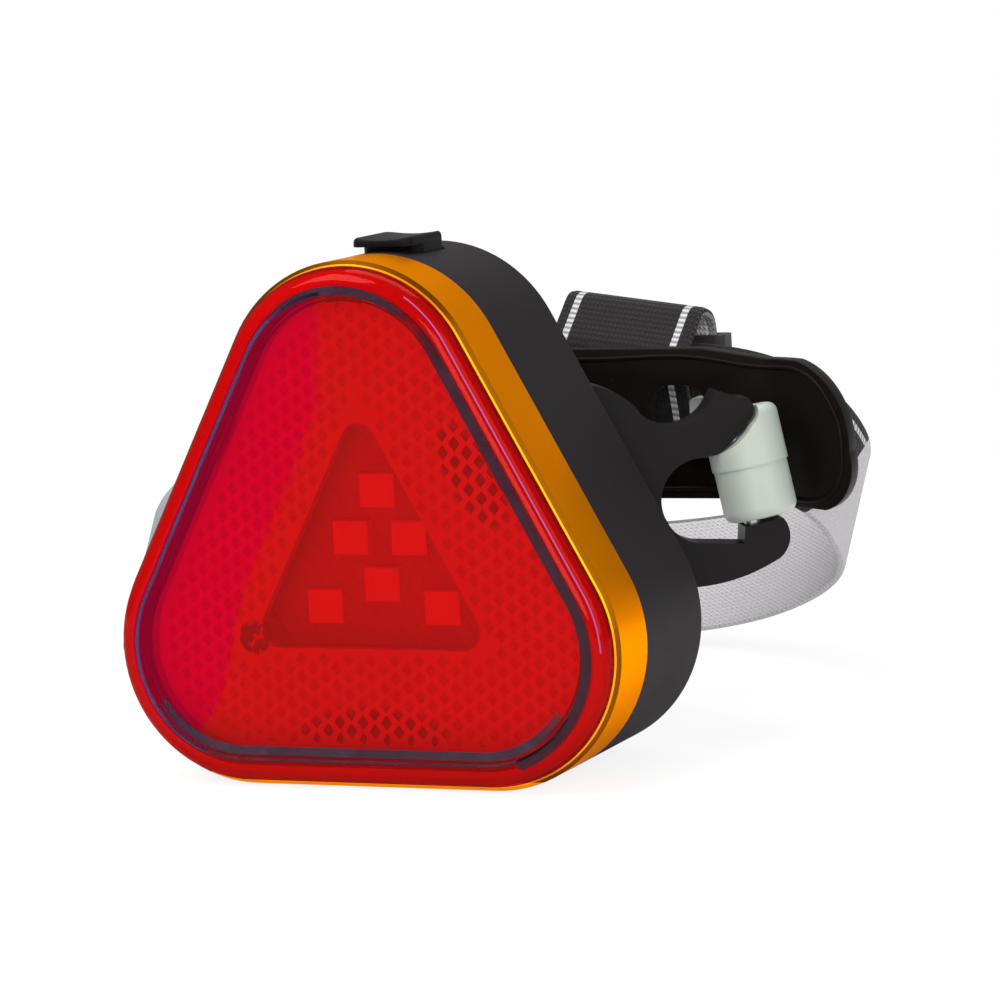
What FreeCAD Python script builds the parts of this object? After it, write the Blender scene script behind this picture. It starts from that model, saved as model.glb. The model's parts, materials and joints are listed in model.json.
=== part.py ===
import FreeCAD, Part
import math
import os
from FreeCAD import Vector

# Triangular bicycle tail light with a rubber band for a seat post and an elastic arm strap.
# Millimetres. X is to the right when the lens is looked at, Y runs from the lens to the back,
# Z is up. The origin is the middle of the flat underside.

# Lens, ring and housing
lens_rise = 31.15  # from the centres of the lower corners up to the centre of the top corner
corner_radius = 17.2
rim_step = 0.7  # ring and housing stand this far proud of the lens
lens_front = -17.0
lens_depth = 2.8  # rim of the lens in front of the ring
lens_face = 1.8  # thickness of the front face
lens_rim = 3.8  # width of the solid rim
rim_round = 2.4
skirt_inset = 2.6  # outside of the lens skirt, in from the lens outline
skirt_length = 2.6
ring_depth = 9.35
ring_chamfer = 0.65
housing_depth = 19.05
housing_wall = 1.8
spigot_wall = 1.4
spigot_fit = 0.1  # ring over spigot
seal_height = 0.8
hook_width = 8.0
hook_height = 0.7
hook_length = 1.2
hook_play = 0.3

# Partition between the board and the cells
partition_front = -3.4
partition_wall = 1.2
shaft_half_width = 4.5  # opening for the switch and the wires
shaft_low = 20.2  # both below the top of the lens
shaft_high = 4.6

# Prism panel and its posts
panel_fit = 0.2
panel_wall = 1.5
panel_back = -11.0
window_base = 17.5
window_top = 17.2  # below the top of the lens
window_half_width = 17.0
window_round = 2.5
post_low = (24.5, 13.4)
post_high = (8.5, 12.7)  # the second is below the top of the lens
post_radius = 1.8
peg_radius = 0.9

# Board, lamps and switch
board_inset = 4.6
board_wall = 1.2
board_front = -6.5
led_width = 4.8
led_height = 4.3
led_depth = 1.4
led_well = 1.5
led_well_depth = 0.5
led_places = (  # second number here and for the small parts: share of the window's height
    (0.0, 0.622),
    (-4.1, 0.429),
    (4.1, 0.429),
    (0.0, 0.238),
    (-8.2, 0.146),
    (8.2, 0.146),
)
chip_size = (4.2, 1.1, 3.6)
chip_places = ((-6.5, -0.22), (4.5, -0.22))
resistor_size = (2.0, 0.6, 1.2)
resistor_places = ((-14.0, -0.25), (-1.0, -0.27), (11.5, -0.25), (-7.0, 0.81), (7.0, 0.81))
board_screw_x = 16.8
board_screw_low = 0.038  # share of the window's height
board_screw_high = 0.816  # share of the window's height
screw_radius = 1.1
screw_head_radius = 2.0
screw_head_height = 1.2
screw_thread = 2.6  # length in the boss
screw_fit = 0.05
boss_radius = 2.4
switch_width = 6.2
switch_depth = 7.4
switch_low = 10.8  # below the top of the lens
switch_height = 4.2
plunger_radius = 1.2
plunger_height = 1.5
plunger_y = 0.6
plunger_fit = 0.05
plunger_hidden = 0.8  # length inside the switch
plunger_round = 0.3
switch_round = 0.5

# Button
button_half_width = 4.2
button_y = 4.3
button_depth = 8.0
button_proud = 1.85
button_overhang = 3.1  # how far its head reaches forward of the opening
head_gap = 0.65  # under the head, a little more than the button's travel
button_corner = 1.5
button_fit = 0.25
button_dish = 0.4
button_dish_radius = 20.0
button_round = 0.7
flange_margin = 1.4
flange_wall = 1.1
flange_fit = 0.3
button_gap = 0.35  # between the stem and the switch

# Cells and their tray
cell_radius = 5.25
cell_length = 44.5
nub_radius = 1.9
nub_length = 0.8
cell_round = 0.5
cell_pitch = 11.2
cell_low = 12.0
cell_fit = 0.2
tray_wall = 1.3
tray_floor = 0.8
tray_depth = 11.6
tray_inset = 2.6
contact_wall = 0.5
contact_size = 8.0
spring_radius = 2.6
spring_wire = 0.5
spring_length = 5.5
wire_radius = 0.6
wire_start = (11.0, 3.0)
wire_knee = 7.5  # above the tray
wire_end = (2.6, 16.2)  # the second is below the top of the lens
wire_bend = 2.2

# Rear cover
cover_wall = 2.0
cover_fit = 0.2
ledge_width = 1.1
ledge_wall = 1.2
cover_seal_height = 0.8
cover_screw_low = 15.5
cover_screw_high = 9.7  # below the top of the lens
cover_boss_gap = 0.3  # beside the tray
cover_boss_margin = 0.94  # between boss and wall
cover_boss_radius = 2.4
cover_boss_length = 7.0
cover_screw_length = 6.0
cover_rib = 2.6
cover_rib_x = 10.0
bridge_half_width = 14.6
bridge_wall = 2.0
gusset_wall = 2.0

# Bracket behind the cover, with the fork for the hook link.
# From here on, Y is measured from the back of the housing.
bracket_wall = 2.6
bracket_left = -20.6
bracket_right = 15.9
bracket_low = 22.0
bracket_high = 47.0
bracket_corner = 4.0
bracket_screw_places = ((-12.6, 35.0), (12.6, 35.0))
bracket_screw_length = 5.4
bracket_boss_wall = 1.6
fork_root = (18.4, 3.8)
fork_angle = 32.0
fork_front = -0.3
fork_wall = 4.6
fork_pocket = 6.5  # depth of the pockets over the bracket's screw heads
ear_wall = 2.6
ear_radius = 3.4
fork_profile = (  # outline of the two arms: outwards from the root, and height; three points are an arc
    ((-6.5, 47.0), (-3.0, 47.6)),
    ((-3.0, 47.6), (2.6, 46.7), (6.5, 44.1)),
    ((6.5, 44.1), (11.3, 41.1), (16.4, 43.8)),
    ((16.4, 43.8), (17.4, 45.4)),
    ((17.4, 45.4), (19.4, 44.5), (21.6, 44.1)),
    ((21.6, 44.1), (22.3, 42.6), (21.4, 41.0)),
    ((21.4, 41.0), (18.9, 38.3), (15.6, 36.6)),
    ((15.6, 36.6), (10.9, 34.9), (9.4, 31.4)),
    ((9.4, 31.4), (10.6, 27.6), (14.2, 25.4)),
    ((14.2, 25.4), (20.2, 24.9)),
    ((20.2, 24.9), (20.4, 27.1)),
    ((20.4, 27.1), (25.6, 27.9)),
    ((25.6, 27.9), (26.4, 25.4), (25.0, 22.7)),
    ((25.0, 22.7), (19.4, 20.4), (12.7, 19.6)),
    ((12.7, 19.6), (-6.5, 22.0)),
    ((-6.5, 22.0), (-6.5, 47.0)),
)
pad_half_width = 10.0
pad_low = 26.0
pad_high = 45.0
pad_wall = 2.2
pad_middle = 0.9
pad_corner = 2.0
post_gap_radius = 13.6

# Rubber band
band_y = 26.8
band_wall = 2.5
tab_angle = 30.0
tab_start = 37.4
tab_length = 13.7
tab_radius = 8.0
band_left = -14.6
band_bend = 9.0
band_side = (-24.1, 17.8)  # middle of the straight run to the anchor
anchor_x = -20.1
anchor_y = 6.2
anchor_low = 31.8
anchor_high = 44.0
band_profile = (  # outline from the front: across and height; three points are an arc
    ((-28.1, 44.0), (-15.6, 44.0)),
    ((-15.6, 44.0), (-10.6, 49.8)),
    ((-10.6, 49.8), (26.4, 49.6)),
    ((26.4, 49.6), (35.7, 48.1)),
    ((35.7, 48.1), (40.7, 48.0)),
    ((40.7, 48.0), (47.0, 44.0), (49.3, 36.5)),
    ((49.3, 36.5), (48.3, 30.7), (44.7, 28.3)),
    ((44.7, 28.3), (37.4, 28.4)),
    ((37.4, 28.4), (31.1, 29.2)),
    ((31.1, 29.2), (-10.6, 29.2)),
    ((-10.6, 29.2), (-15.6, 31.8)),
    ((-15.6, 31.8), (-28.1, 31.8)),
    ((-28.1, 31.8), (-28.1, 44.0)),
)
anchor_fit = 0.3
anchor_pin_radius = 1.5
anchor_eye = 3.0
pin_fit = 0.05
hole_middle = (22.7, 39.5)
hole_size = (8.4, 10.2)
hole_round = 3.2

# Nylon link on its pin in the fork
link_top = (34.3, 17.6, 42.4)
link_bottom = (37.1, 17.6, 28.0)
link_radius = 5.1
link_low_radius = 4.9
link_step = 0.52  # share of the barrel's length that has the larger radius
link_round = 1.3
link_notch_fit = 0.4
link_notch_depth = 5.0  # how far behind the root of the fork the notch reaches
link_pin_radius = 1.1
link_pin_high = (19.15, 43.9)  # ends of the pin in the fork's plane
link_pin_low = (22.7, 22.2)
tongue_wall = 2.2
tongue_low = 35.4
tongue_high = 39.6
lip_low = 35.8
lip_high = 42.5
tongue_x = 24.3
tongue_y = 22.7
tongue_run = 5.0
tongue_bends = (4.0, 1.6, 1.6)
lip_y = 30.0
lip_right = 29.2
lip_corner = 0.8

# Elastic strap and its tail
strap_width = 20.0
strap_wall = 1.2
strap_station = 5.0  # from one section of the loop to the next
strap_lap = 1.35  # from the middle of one layer to the middle of the next
strap_gap = 0.3  # behind the band
strap_front = band_y + band_wall / 2 + strap_gap + strap_wall / 2
strap_behind = 35.4
strap_route = (  # across, a level and how far behind it, height, and the lean of its top as a unit vector
    (-18.1, strap_front, 0.0, 39.6, 0.0, 0.0),
    (-12.6, strap_front, 0.0, 39.6, 0.0, 0.0),
    (-8.1, strap_front, 1.45, 39.6, 0.0, 0.0),
    (-3.6, strap_behind, -2.3, 39.6, 0.0, 0.0),
    (0.9, strap_behind, -0.2, 39.6, 0.0, 0.0),
    (6.4, strap_behind, 0.0, 39.6, 0.0, 0.0),
    (12.9, strap_behind, 0.2, 39.5, 0.0, 0.04),
    (21.4, strap_behind, 1.8, 39.0, 0.0, 0.16),
    (29.6, strap_behind, 6.8, 36.8, 0.0, 0.4),
    (34.2, strap_behind, 14.0, 32.4, 0.0, 0.58),
    (35.6, strap_behind, 21.8, 26.3, 0.02, 0.64),
    (32.8, strap_behind, 30.3, 20.7, 0.02, 0.64),
    (23.0, strap_behind, 37.6, 14.8, 0.02, 0.64),
    (8.2, strap_behind, 42.8, 10.6, 0.02, 0.64),
    (-9.7, strap_behind, 44.8, 8.6, 0.02, 0.64),
    (-28.6, strap_behind, 42.8, 8.4, 0.0, 0.64),
    (-45.1, strap_behind, 35.6, 8.6, 0.0, 0.62),
    (-58.1, strap_behind, 24.4, 9.2, 0.04, 0.6),
    (-65.4, strap_behind, 11.9, 10.8, 0.09, 0.54),
    (-65.9, strap_behind, 0.9, 14.4, 0.13, 0.42),
    (-58.6, strap_front, 0.45, 20.6, 0.11, 0.28),
    (-46.1, strap_front, -1.75, 28.2, 0.05, 0.14),
    (-33.1, strap_front, -0.35, 34.4, 0.0, 0.0),
    (-24.6, strap_front, strap_lap, 38.2, 0.0, 0.0),
    (-18.6, strap_front, strap_lap, 39.4, 0.0, 0.0),
    (-13.2, strap_front, strap_lap, 39.6, 0.0, 0.0),
)
tail_left = 1.8
tail_fall = 0.14  # how much its right side hangs lower, per millimetre of width
tail_lap = 1.4  # from the middle of the loop to the middle of the tail
tail_step = 2.6  # how far it first leans forward
tail_crown = 5.8
tail_depth = 10.4
tail_front = strap_behind - tail_lap
tail_back = tail_front + tail_depth
tail_route = (  # depth and height of its left edge, from the stitched end
    (tail_front, 33.0),
    (tail_front, 41.5),
    (tail_front - tail_step, 49.6),
    (tail_front + tail_crown, 56.2),
    (tail_back, 54.6),
    (tail_back, 36.0),
)
tail_bends = (8.0, 3.0, 3.5, 3.0)
slider_wall = 1.3
slider_low = 40.5
slider_high = 49.5
slider_fit = 0.35
slider_corner = 1.2

# Derived levels
ring_front = lens_front + lens_depth
ring_back = ring_front + ring_depth
housing_back = ring_back + housing_depth
spigot_front = ring_front + seal_height
spigot_outer = rim_step - housing_wall + spigot_fit
spigot_inner = spigot_outer - spigot_wall
partition_back = partition_front + partition_wall
board_back = board_front + board_wall
panel_front = panel_back - panel_wall
cover_front = housing_back - cover_wall
cell_y = partition_back + tray_floor + cell_fit + cell_radius
wall_inner = rim_step - housing_wall
tray_half_length = (cell_length + spring_length) / 2 + contact_wall + tray_wall
cover_screw_x = tray_half_length + cover_boss_gap + cover_boss_radius
low_x = cover_screw_x + cover_boss_radius + cover_boss_margin - wall_inner - corner_radius
low_z = rim_step + corner_radius
high_z = low_z + lens_rise
base_angle = math.atan2(lens_rise, low_x)
lens_top = high_z + corner_radius
window_height = lens_top - window_top - window_base
screw_row = window_base + board_screw_low * window_height
screw_places = ((-board_screw_x, screw_row), (board_screw_x, screw_row),
                (0.0, window_base + board_screw_high * window_height))
post_places = [(side * post_low[0], post_low[1]) for side in (-1, 1)]
post_places += [(side * post_high[0], lens_top - post_high[1]) for side in (-1, 1)]
switch_bottom = lens_top - switch_low
switch_top = switch_bottom + switch_height
tray_top = cell_low + cell_pitch + cell_radius + cell_fit + tray_floor
cover_screw_places = ((-cover_screw_x, cover_screw_low), (cover_screw_x, cover_screw_low),
                      (0.0, lens_top - cover_screw_high))
ear_low = anchor_low - anchor_fit - ear_wall
ear_high = anchor_high + anchor_fit + ear_wall


def outline(offset):
    """Rounded triangle, grown by offset, as a face in the plane y = 0."""
    radius = corner_radius + offset
    down = Vector(0, 0, -1)
    right = Vector(math.sin(base_angle), 0, math.cos(base_angle))
    left = Vector(-math.sin(base_angle), 0, math.cos(base_angle))
    corners = (
        (Vector(low_x, 0, low_z), down, right),
        (Vector(0, 0, high_z), right, left),
        (Vector(-low_x, 0, low_z), left, down),
    )
    arcs = []
    for centre, before, after in corners:
        middle = (before + after).normalize()
        ends = [centre + way * radius for way in (before, middle, after)]
        arcs.append(Part.Arc(*ends).toShape())
    edges = []
    for index, arc in enumerate(arcs):
        following = arcs[(index + 1) % len(arcs)]
        edges.append(arc)
        edges.append(Part.LineSegment(arc.Vertexes[-1].Point, following.Vertexes[0].Point).toShape())
    return Part.Face(Part.Wire(edges))


def prism(offset, front, back):
    """Solid of the rounded triangle between two depths."""
    face = outline(offset)
    face.translate(Vector(0, front, 0))
    return face.extrude(Vector(0, back - front, 0))


def wall(outer, inner, front, back):
    return prism(outer, front, back).cut(prism(inner, front - 1, back + 1))


def block(x_span, y_span, z_span):
    low = Vector(x_span[0], y_span[0], z_span[0])
    return Part.makeBox(x_span[1] - x_span[0], y_span[1] - y_span[0], z_span[1] - z_span[0], low)


def rounded_block(x_span, y_span, z_span, radius, axis):
    """Block whose edges along the axis are rounded."""
    solid = block(x_span, y_span, z_span)
    edges = [edge for edge in solid.Edges if abs(edge.tangentAt(edge.FirstParameter).dot(axis)) > 0.99]
    return solid.makeFillet(radius, edges)


def rod(radius, start, end):
    way = end - start
    return Part.makeCylinder(radius, way.Length, start, way)


def rod_y(radius, place, front, back):
    """Rod along Y at a place (x, z)."""
    return rod(radius, Vector(place[0], front, place[1]), Vector(place[0], back, place[1]))


def rod_z(radius, place, low, high):
    """Rod along Z at a place (x, y)."""
    return rod(radius, Vector(place[0], place[1], low), Vector(place[0], place[1], high))


def fused(solids):
    return solids[0].multiFuse(solids[1:]).removeSplitter()


def rounded_route(points, radii):
    """Straight runs and tangent arcs through points, as pairs of edge data in one plane or in space."""
    pieces = []
    start = points[0]
    for before, corner, after, radius in zip(points, points[1:], points[2:], radii):
        to_corner = (corner - before).normalize()
        from_corner = (after - corner).normalize()
        turn = to_corner.getAngle(from_corner)
        cut = radius * math.tan(turn / 2)
        arc_start = corner - to_corner * cut
        arc_end = corner + from_corner * cut
        inward = (from_corner - to_corner).normalize()
        middle = corner + inward * (radius / math.cos(turn / 2) - radius)
        pieces.append((start, None, arc_start))
        pieces.append((arc_start, middle, arc_end))
        start = arc_end
    pieces.append((start, None, points[-1]))
    return pieces


def edge_of(piece):
    start, middle, end = piece
    if middle is None:
        return Part.LineSegment(start, end).toShape()
    return Part.Arc(start, middle, end).toShape()


def ribbon_face(points, radii, thickness, across):
    """Face of a bent strip of even thickness, in the plane that is square to across."""
    half = thickness / 2
    pieces = rounded_route(points, radii)
    sides = []
    for sign in (1, -1):
        side = []
        for start, middle, end in pieces:
            if middle is None:
                shift = (end - start).normalize().cross(across) * half * sign
                side.append((start + shift, None, end + shift))
                continue
            curve = edge_of((start, middle, end)).Curve
            outward = (start - curve.Center).normalize()
            grow = half * sign * (1 if (end - start).cross(across).dot(outward) > 0 else -1)
            scaled = [curve.Center + (point - curve.Center) * ((curve.Radius + grow) / curve.Radius)
                      for point in (start, middle, end)]
            side.append(tuple(scaled))
        sides.append(side)
    edges = [edge_of(piece) for piece in sides[0]]
    edges.append(Part.LineSegment(sides[0][-1][2], sides[1][-1][2]).toShape())
    edges += [edge_of(piece) for piece in reversed(sides[1])]
    edges.append(Part.LineSegment(sides[1][0][0], sides[0][0][0]).toShape())
    return Part.Face(Part.Wire(Part.__sortEdges__(edges)))


def tube(points, radius, bend):
    """Round wire along straight runs joined by tangent arcs."""
    pieces = rounded_route(points, [bend] * (len(points) - 2))
    path = Part.Wire([edge_of(piece) for piece in pieces])
    circle = Part.Circle(points[0], points[1] - points[0], radius).toShape()
    return path.makePipeShell([Part.Wire(circle)], True, False)


def screw(place, head_back, head_height, length):
    """Pan-head screw along Y: the head ends at head_back and the thread runs behind it."""
    head = rod_y(screw_head_radius, place, head_back - head_height, head_back)
    rim = [edge for edge in head.Edges if abs(edge.BoundBox.YMin - (head_back - head_height)) < 0.01
           and edge.BoundBox.YLength < 0.01]
    head = head.makeFillet(head_height * 0.4, rim)
    slot_half = screw_head_radius * 0.62
    blade = screw_head_radius * 0.14
    x, z = place
    front = head_back - head_height
    depth = (front - 1, front + head_height * 0.5)
    cross = block((x - slot_half, x + slot_half), depth, (z - blade, z + blade))
    cross = cross.fuse(block((x - blade, x + blade), depth, (z - slot_half, z + slot_half)))
    return head.cut(cross).fuse(rod_y(screw_radius, place, head_back, head_back + length)).removeSplitter()


def back_screw(place, head_front, head_height, length):
    """The same screw, driven from the back."""
    solid = screw(place, 0, head_height, length)
    solid.rotate(Vector(place[0], 0, place[1]), Vector(0, 0, 1), 180)
    solid.translate(Vector(0, head_front, 0))
    return solid


def hook_spots():
    """Middle and direction of the lens hooks: two on each side of the triangle."""
    right = Vector(math.sin(base_angle), 0, math.cos(base_angle))
    middle = (Vector(low_x, 0, low_z) + Vector(0, 0, high_z)) * 0.5 + right * corner_radius
    flank = (Vector(0, 0, high_z) - Vector(low_x, 0, low_z)) * 0.32
    spots = [(Vector(side * low_x * 0.62, 0, rim_step), Vector(0, 0, -1)) for side in (-1, 1)]
    for shift in (-1, 1):
        spot = middle + flank * shift
        spots.append((spot, right))
        spots.append((Vector(-spot.x, 0, spot.z), Vector(-right.x, 0, right.z)))
    return spots


def hook_blocks(inset, height, front, back, margin):
    """Short bars along the outline, from inset outwards, at each hook."""
    bars = []
    for spot, outward in hook_spots():
        half = hook_width / 2 + margin
        bar = block((-half, half), (front, back), (-inset, height - inset))
        angle = math.degrees(math.atan2(outward.x, outward.z))
        bar.rotate(Vector(0, 0, 0), Vector(0, 1, 0), angle)
        bar.translate(Vector(spot.x, 0, spot.z))
        bars.append(bar)
    return bars


def lens_cover():
    shell = prism(0, lens_front, ring_front)
    front_edges = [edge for edge in shell.Edges if edge.BoundBox.YMax < lens_front + 0.01]
    shell = shell.makeFillet(rim_round, front_edges)
    skirt_end = ring_front + skirt_length
    shell = shell.fuse(prism(-skirt_inset, ring_front, skirt_end))
    shell = shell.cut(prism(-lens_rim, lens_front + lens_face, skirt_end + 1))
    hooks = hook_blocks(skirt_inset + hook_play, hook_height + hook_play, skirt_end - hook_length,
                        skirt_end, 0)
    return fused([shell] + hooks)


def lens_seal():
    return wall(spigot_outer, spigot_inner, ring_front, spigot_front)


def accent_ring():
    ring = wall(rim_step, spigot_outer + spigot_fit, ring_front, ring_back)
    outside = outline(rim_step).OuterWire
    outside.translate(Vector(0, ring_front, 0))
    chosen = [edge for edge in ring.Edges if edge.BoundBox.YMax < ring_front + 0.01
              and outside.distToShape(Part.Vertex(edge.valueAt(edge.FirstParameter)))[0] < 0.01]
    return ring.makeChamfer(ring_chamfer, chosen)


def prism_window(front, back):
    """Rounded triangular opening through which the lamps show."""
    corners = (
        Vector(-window_half_width, front, window_base),
        Vector(window_half_width, front, window_base),
        Vector(0, front, window_base + window_height),
    )
    solid = Part.Face(Part.makePolygon(list(corners) + [corners[0]])).extrude(Vector(0, back - front, 0))
    edges = [edge for edge in solid.Edges if edge.BoundBox.YLength > (back - front) * 0.9]
    return solid.makeFillet(window_round, edges)


def prism_panel():
    panel = prism(-lens_rim - panel_fit, panel_front, panel_back)
    panel = panel.cut(prism_window(panel_front - 1, panel_back + 1))
    for place in post_places:
        panel = panel.cut(rod_y(peg_radius + screw_fit, place, panel_front - 1, panel_back + 1))
    return panel


def led_board():
    board = prism(-board_inset, board_front, board_back)
    for place in post_places:
        board = board.cut(rod_y(post_radius + panel_fit, place, board_front - 1, board_back + 1))
    for place in screw_places:
        board = board.cut(rod_y(screw_radius + panel_fit, place, board_front - 1, board_back + 1))
    return board


def box_on(place, y_span, size):
    x, z = place
    return block((x - size[0] / 2, x + size[0] / 2), y_span, (z - size[1] / 2, z + size[1] / 2))


def on_board(x, share):
    return x, window_base + share * window_height


def leds():
    lamps = []
    for x, share in led_places:
        place = on_board(x, share)
        lamp = box_on(place, (board_front - led_depth, board_front), (led_width, led_height))
        front = board_front - led_depth
        well = Part.makeCone(led_well * 1.2, led_well, led_well_depth, Vector(place[0], front, place[1]),
                             Vector(0, 1, 0))
        lamps.append(lamp.cut(well))
    return Part.makeCompound(lamps)


def board_components():
    chips = [(place, chip_size) for place in chip_places]
    chips += [(place, resistor_size) for place in resistor_places]
    solids = []
    for (x, share), size in chips:
        solids.append(box_on(on_board(x, share), (board_back, board_back + size[1]), (size[0], size[2])))
    return Part.makeCompound(solids)


def board_screws():
    length = board_wall + screw_thread
    return Part.makeCompound([screw(place, board_front, screw_head_height, length) for place in screw_places])


def switch_body():
    back = board_back + switch_depth
    half = switch_width / 2
    body = rounded_block((-half, half), (board_back, back), (switch_bottom, switch_top), switch_round,
                         Vector(0, 1, 0))
    well = switch_top - plunger_hidden * 1.5
    return body.cut(rod_z(plunger_radius + plunger_fit, (0, plunger_y), well, switch_top + 1))


def switch_plunger():
    top = switch_top + plunger_height
    plunger = rod_z(plunger_radius, (0, plunger_y), switch_top - plunger_hidden, top)
    edges = [edge for edge in plunger.Edges if edge.BoundBox.ZMin > top - 0.01]
    return plunger.makeFillet(plunger_round, edges)


def button_span(margin):
    x_span = (-button_half_width - margin, button_half_width + margin)
    y_span = (button_y - button_depth / 2 - margin, button_y + button_depth / 2 + margin)
    return x_span, y_span


def button_cap():
    top = lens_top + rim_step + button_proud
    inner = corner_radius + wall_inner
    half = button_half_width + flange_margin
    flange_top = high_z + math.sqrt(inner ** 2 - half ** 2) - flange_fit
    flange_low = flange_top - flange_wall
    x_span, y_span = button_span(0)
    head_low = lens_top + rim_step + head_gap
    neck_high = head_low + button_round / 2
    neck = rounded_block(x_span, y_span, (flange_low, neck_high), button_corner, Vector(0, 0, 1))
    head = rounded_block(x_span, (y_span[0] - button_overhang, y_span[1]), (head_low, top), button_corner,
                         Vector(0, 0, 1))
    edges = [edge for edge in head.Edges if edge.BoundBox.ZMin > top - 0.01]
    head = head.makeFillet(button_round, edges)
    dish_z = top - button_dish + button_dish_radius
    head = head.cut(rod_y(button_dish_radius, (0, dish_z), button_y - button_depth, button_y + button_depth))
    x_span, y_span = button_span(flange_margin)
    flange = rounded_block(x_span, y_span, (flange_low, flange_top), button_corner, Vector(0, 0, 1))
    stem_low = switch_top + plunger_height + button_gap
    stem = rod_z(plunger_radius + 0.2, (0, plunger_y), stem_low, flange_top)
    return fused([neck, head, flange, stem])


def housing_shell():
    shell = wall(rim_step, wall_inner, ring_back, housing_back)
    spigot = wall(spigot_outer, spigot_inner, spigot_front, partition_front)
    plate = prism(wall_inner + housing_wall / 2, partition_front, partition_back)
    shaft = block((-shaft_half_width, shaft_half_width), (partition_front - 1, partition_back + 1),
                  (lens_top - shaft_low, lens_top - shaft_high))
    plate = plate.cut(shaft)
    parts = [shell, spigot, plate]
    for place in screw_places:
        parts.append(rod_y(boss_radius, place, board_back, partition_front))
    for place in post_places:
        parts.append(rod_y(post_radius, place, panel_back, partition_front))
        parts.append(rod_y(peg_radius, place, panel_front, panel_back))
    ledge_back = cover_front - cover_seal_height
    parts.append(wall(wall_inner + 0.5, wall_inner - ledge_width, ledge_back - ledge_wall, ledge_back))
    for place in cover_screw_places:
        parts.append(rod_y(cover_boss_radius, place, ledge_back - cover_boss_length, cover_front))
    top_place = cover_screw_places[2]
    bridge = block((-bridge_half_width, bridge_half_width), (ledge_back - cover_boss_length, ledge_back),
                   (top_place[1] - bridge_wall / 2, top_place[1] + bridge_wall / 2))
    parts.append(bridge)
    for place in cover_screw_places[:2]:
        side = 1 if place[0] > 0 else -1
        gusset = block(sorted((place[0], side * (abs(place[0]) + housing_wall * 2))),
                       (ledge_back - cover_boss_length, ledge_back),
                       (place[1] - gusset_wall / 2, place[1] + gusset_wall / 2))
        parts.append(gusset)
    housing = fused(parts)
    catch = ring_front + skirt_length
    for bar in hook_blocks(skirt_inset + hook_play, hook_height + hook_play * 3,
                           catch - hook_length - hook_play, catch + hook_play, hook_play):
        housing = housing.cut(bar)
    for place in screw_places:
        housing = housing.cut(rod_y(screw_radius + screw_fit, place, board_back - 1,
                                    board_back + screw_thread + hook_play))
    for place in cover_screw_places:
        depth = cover_front - cover_screw_length
        housing = housing.cut(rod_y(screw_radius + screw_fit, place, depth, cover_front + 1))
    x_span, y_span = button_span(button_fit)
    z_span = (high_z, high_z + corner_radius * 2)
    opening = rounded_block(x_span, y_span, z_span, button_corner, Vector(0, 0, 1))
    return housing.cut(opening)


def battery_tray():
    front = partition_back
    back = front + tray_depth
    low = cell_low - cell_radius - cell_fit - tray_floor
    tray = block((-tray_half_length, tray_half_length), (front, back), (low, tray_top))
    tray = tray.common(prism(-tray_inset, front, back))
    inside = tray_half_length - tray_wall
    for row in range(2):
        middle = cell_low + row * cell_pitch
        trough = rod(cell_radius + cell_fit, Vector(-inside, cell_y, middle), Vector(inside, cell_y, middle))
        reach = cell_radius + cell_fit
        mouth = block((-inside, inside), (cell_y, back + 1), (middle - reach, middle + reach))
        end = contact_size / 2 + cell_fit
        tray = tray.cut(trough.fuse(mouth))
        for side in (-1, 1):
            pocket = block(sorted((side * inside, side * (inside - contact_wall - 0.2))),
                           (cell_y - end, back + 1), (middle - end, middle + end))
            tray = tray.cut(pocket)
    return tray


def cell_ends(row):
    """Plain end, plus end and plus side of the cell in a row."""
    side = 1 if row == 0 else -1
    plus = side * (tray_half_length - tray_wall - contact_wall)
    return plus - side * cell_length, plus, side


def battery_cell(row):
    minus, plus, side = cell_ends(row)
    middle = cell_low + row * cell_pitch
    shoulder = plus - side * nub_length
    body = rod(cell_radius, Vector(minus, cell_y, middle), Vector(shoulder, cell_y, middle))
    body = body.makeFillet(cell_round, [edge for edge in body.Edges if edge.BoundBox.XLength < 0.01])
    nub = rod(nub_radius, Vector(shoulder, cell_y, middle), Vector(plus, cell_y, middle))
    return body.fuse(nub)


def contact_plate(side, row):
    outside = side * (tray_half_length - tray_wall)
    half = contact_size / 2
    middle = cell_low + row * cell_pitch
    return block(sorted((outside, outside - side * contact_wall)), (cell_y - half, cell_y + half),
                 (middle - half, middle + half))


def plate_contacts():
    return Part.makeCompound([contact_plate(cell_ends(row)[2], row) for row in range(2)])


def spring_contacts():
    springs = []
    for row in range(2):
        minus, plus, side = cell_ends(row)
        middle = cell_low + row * cell_pitch
        start = Vector(-side * (tray_half_length - tray_wall - contact_wall), cell_y, middle)
        end = Vector(minus, cell_y, middle)
        coil = rod(spring_radius, start, end).cut(rod(spring_radius - spring_wire, start, end))
        springs.append(contact_plate(-side, row).fuse(coil))
    return Part.makeCompound(springs)


def wire(side):
    """Lead from the top of the tray, through the shaft, to the back of the board."""
    x_low, y_low = wire_start
    x_high = wire_end[0]
    z_high = lens_top - wire_end[1]
    points = [
        Vector(side * x_low, y_low, tray_top),
        Vector(side * x_low, y_low, tray_top + wire_knee),
        Vector(side * x_high, y_low, z_high),
        Vector(side * x_high, board_back, z_high),
    ]
    return tube(points, wire_radius, wire_bend)


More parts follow.
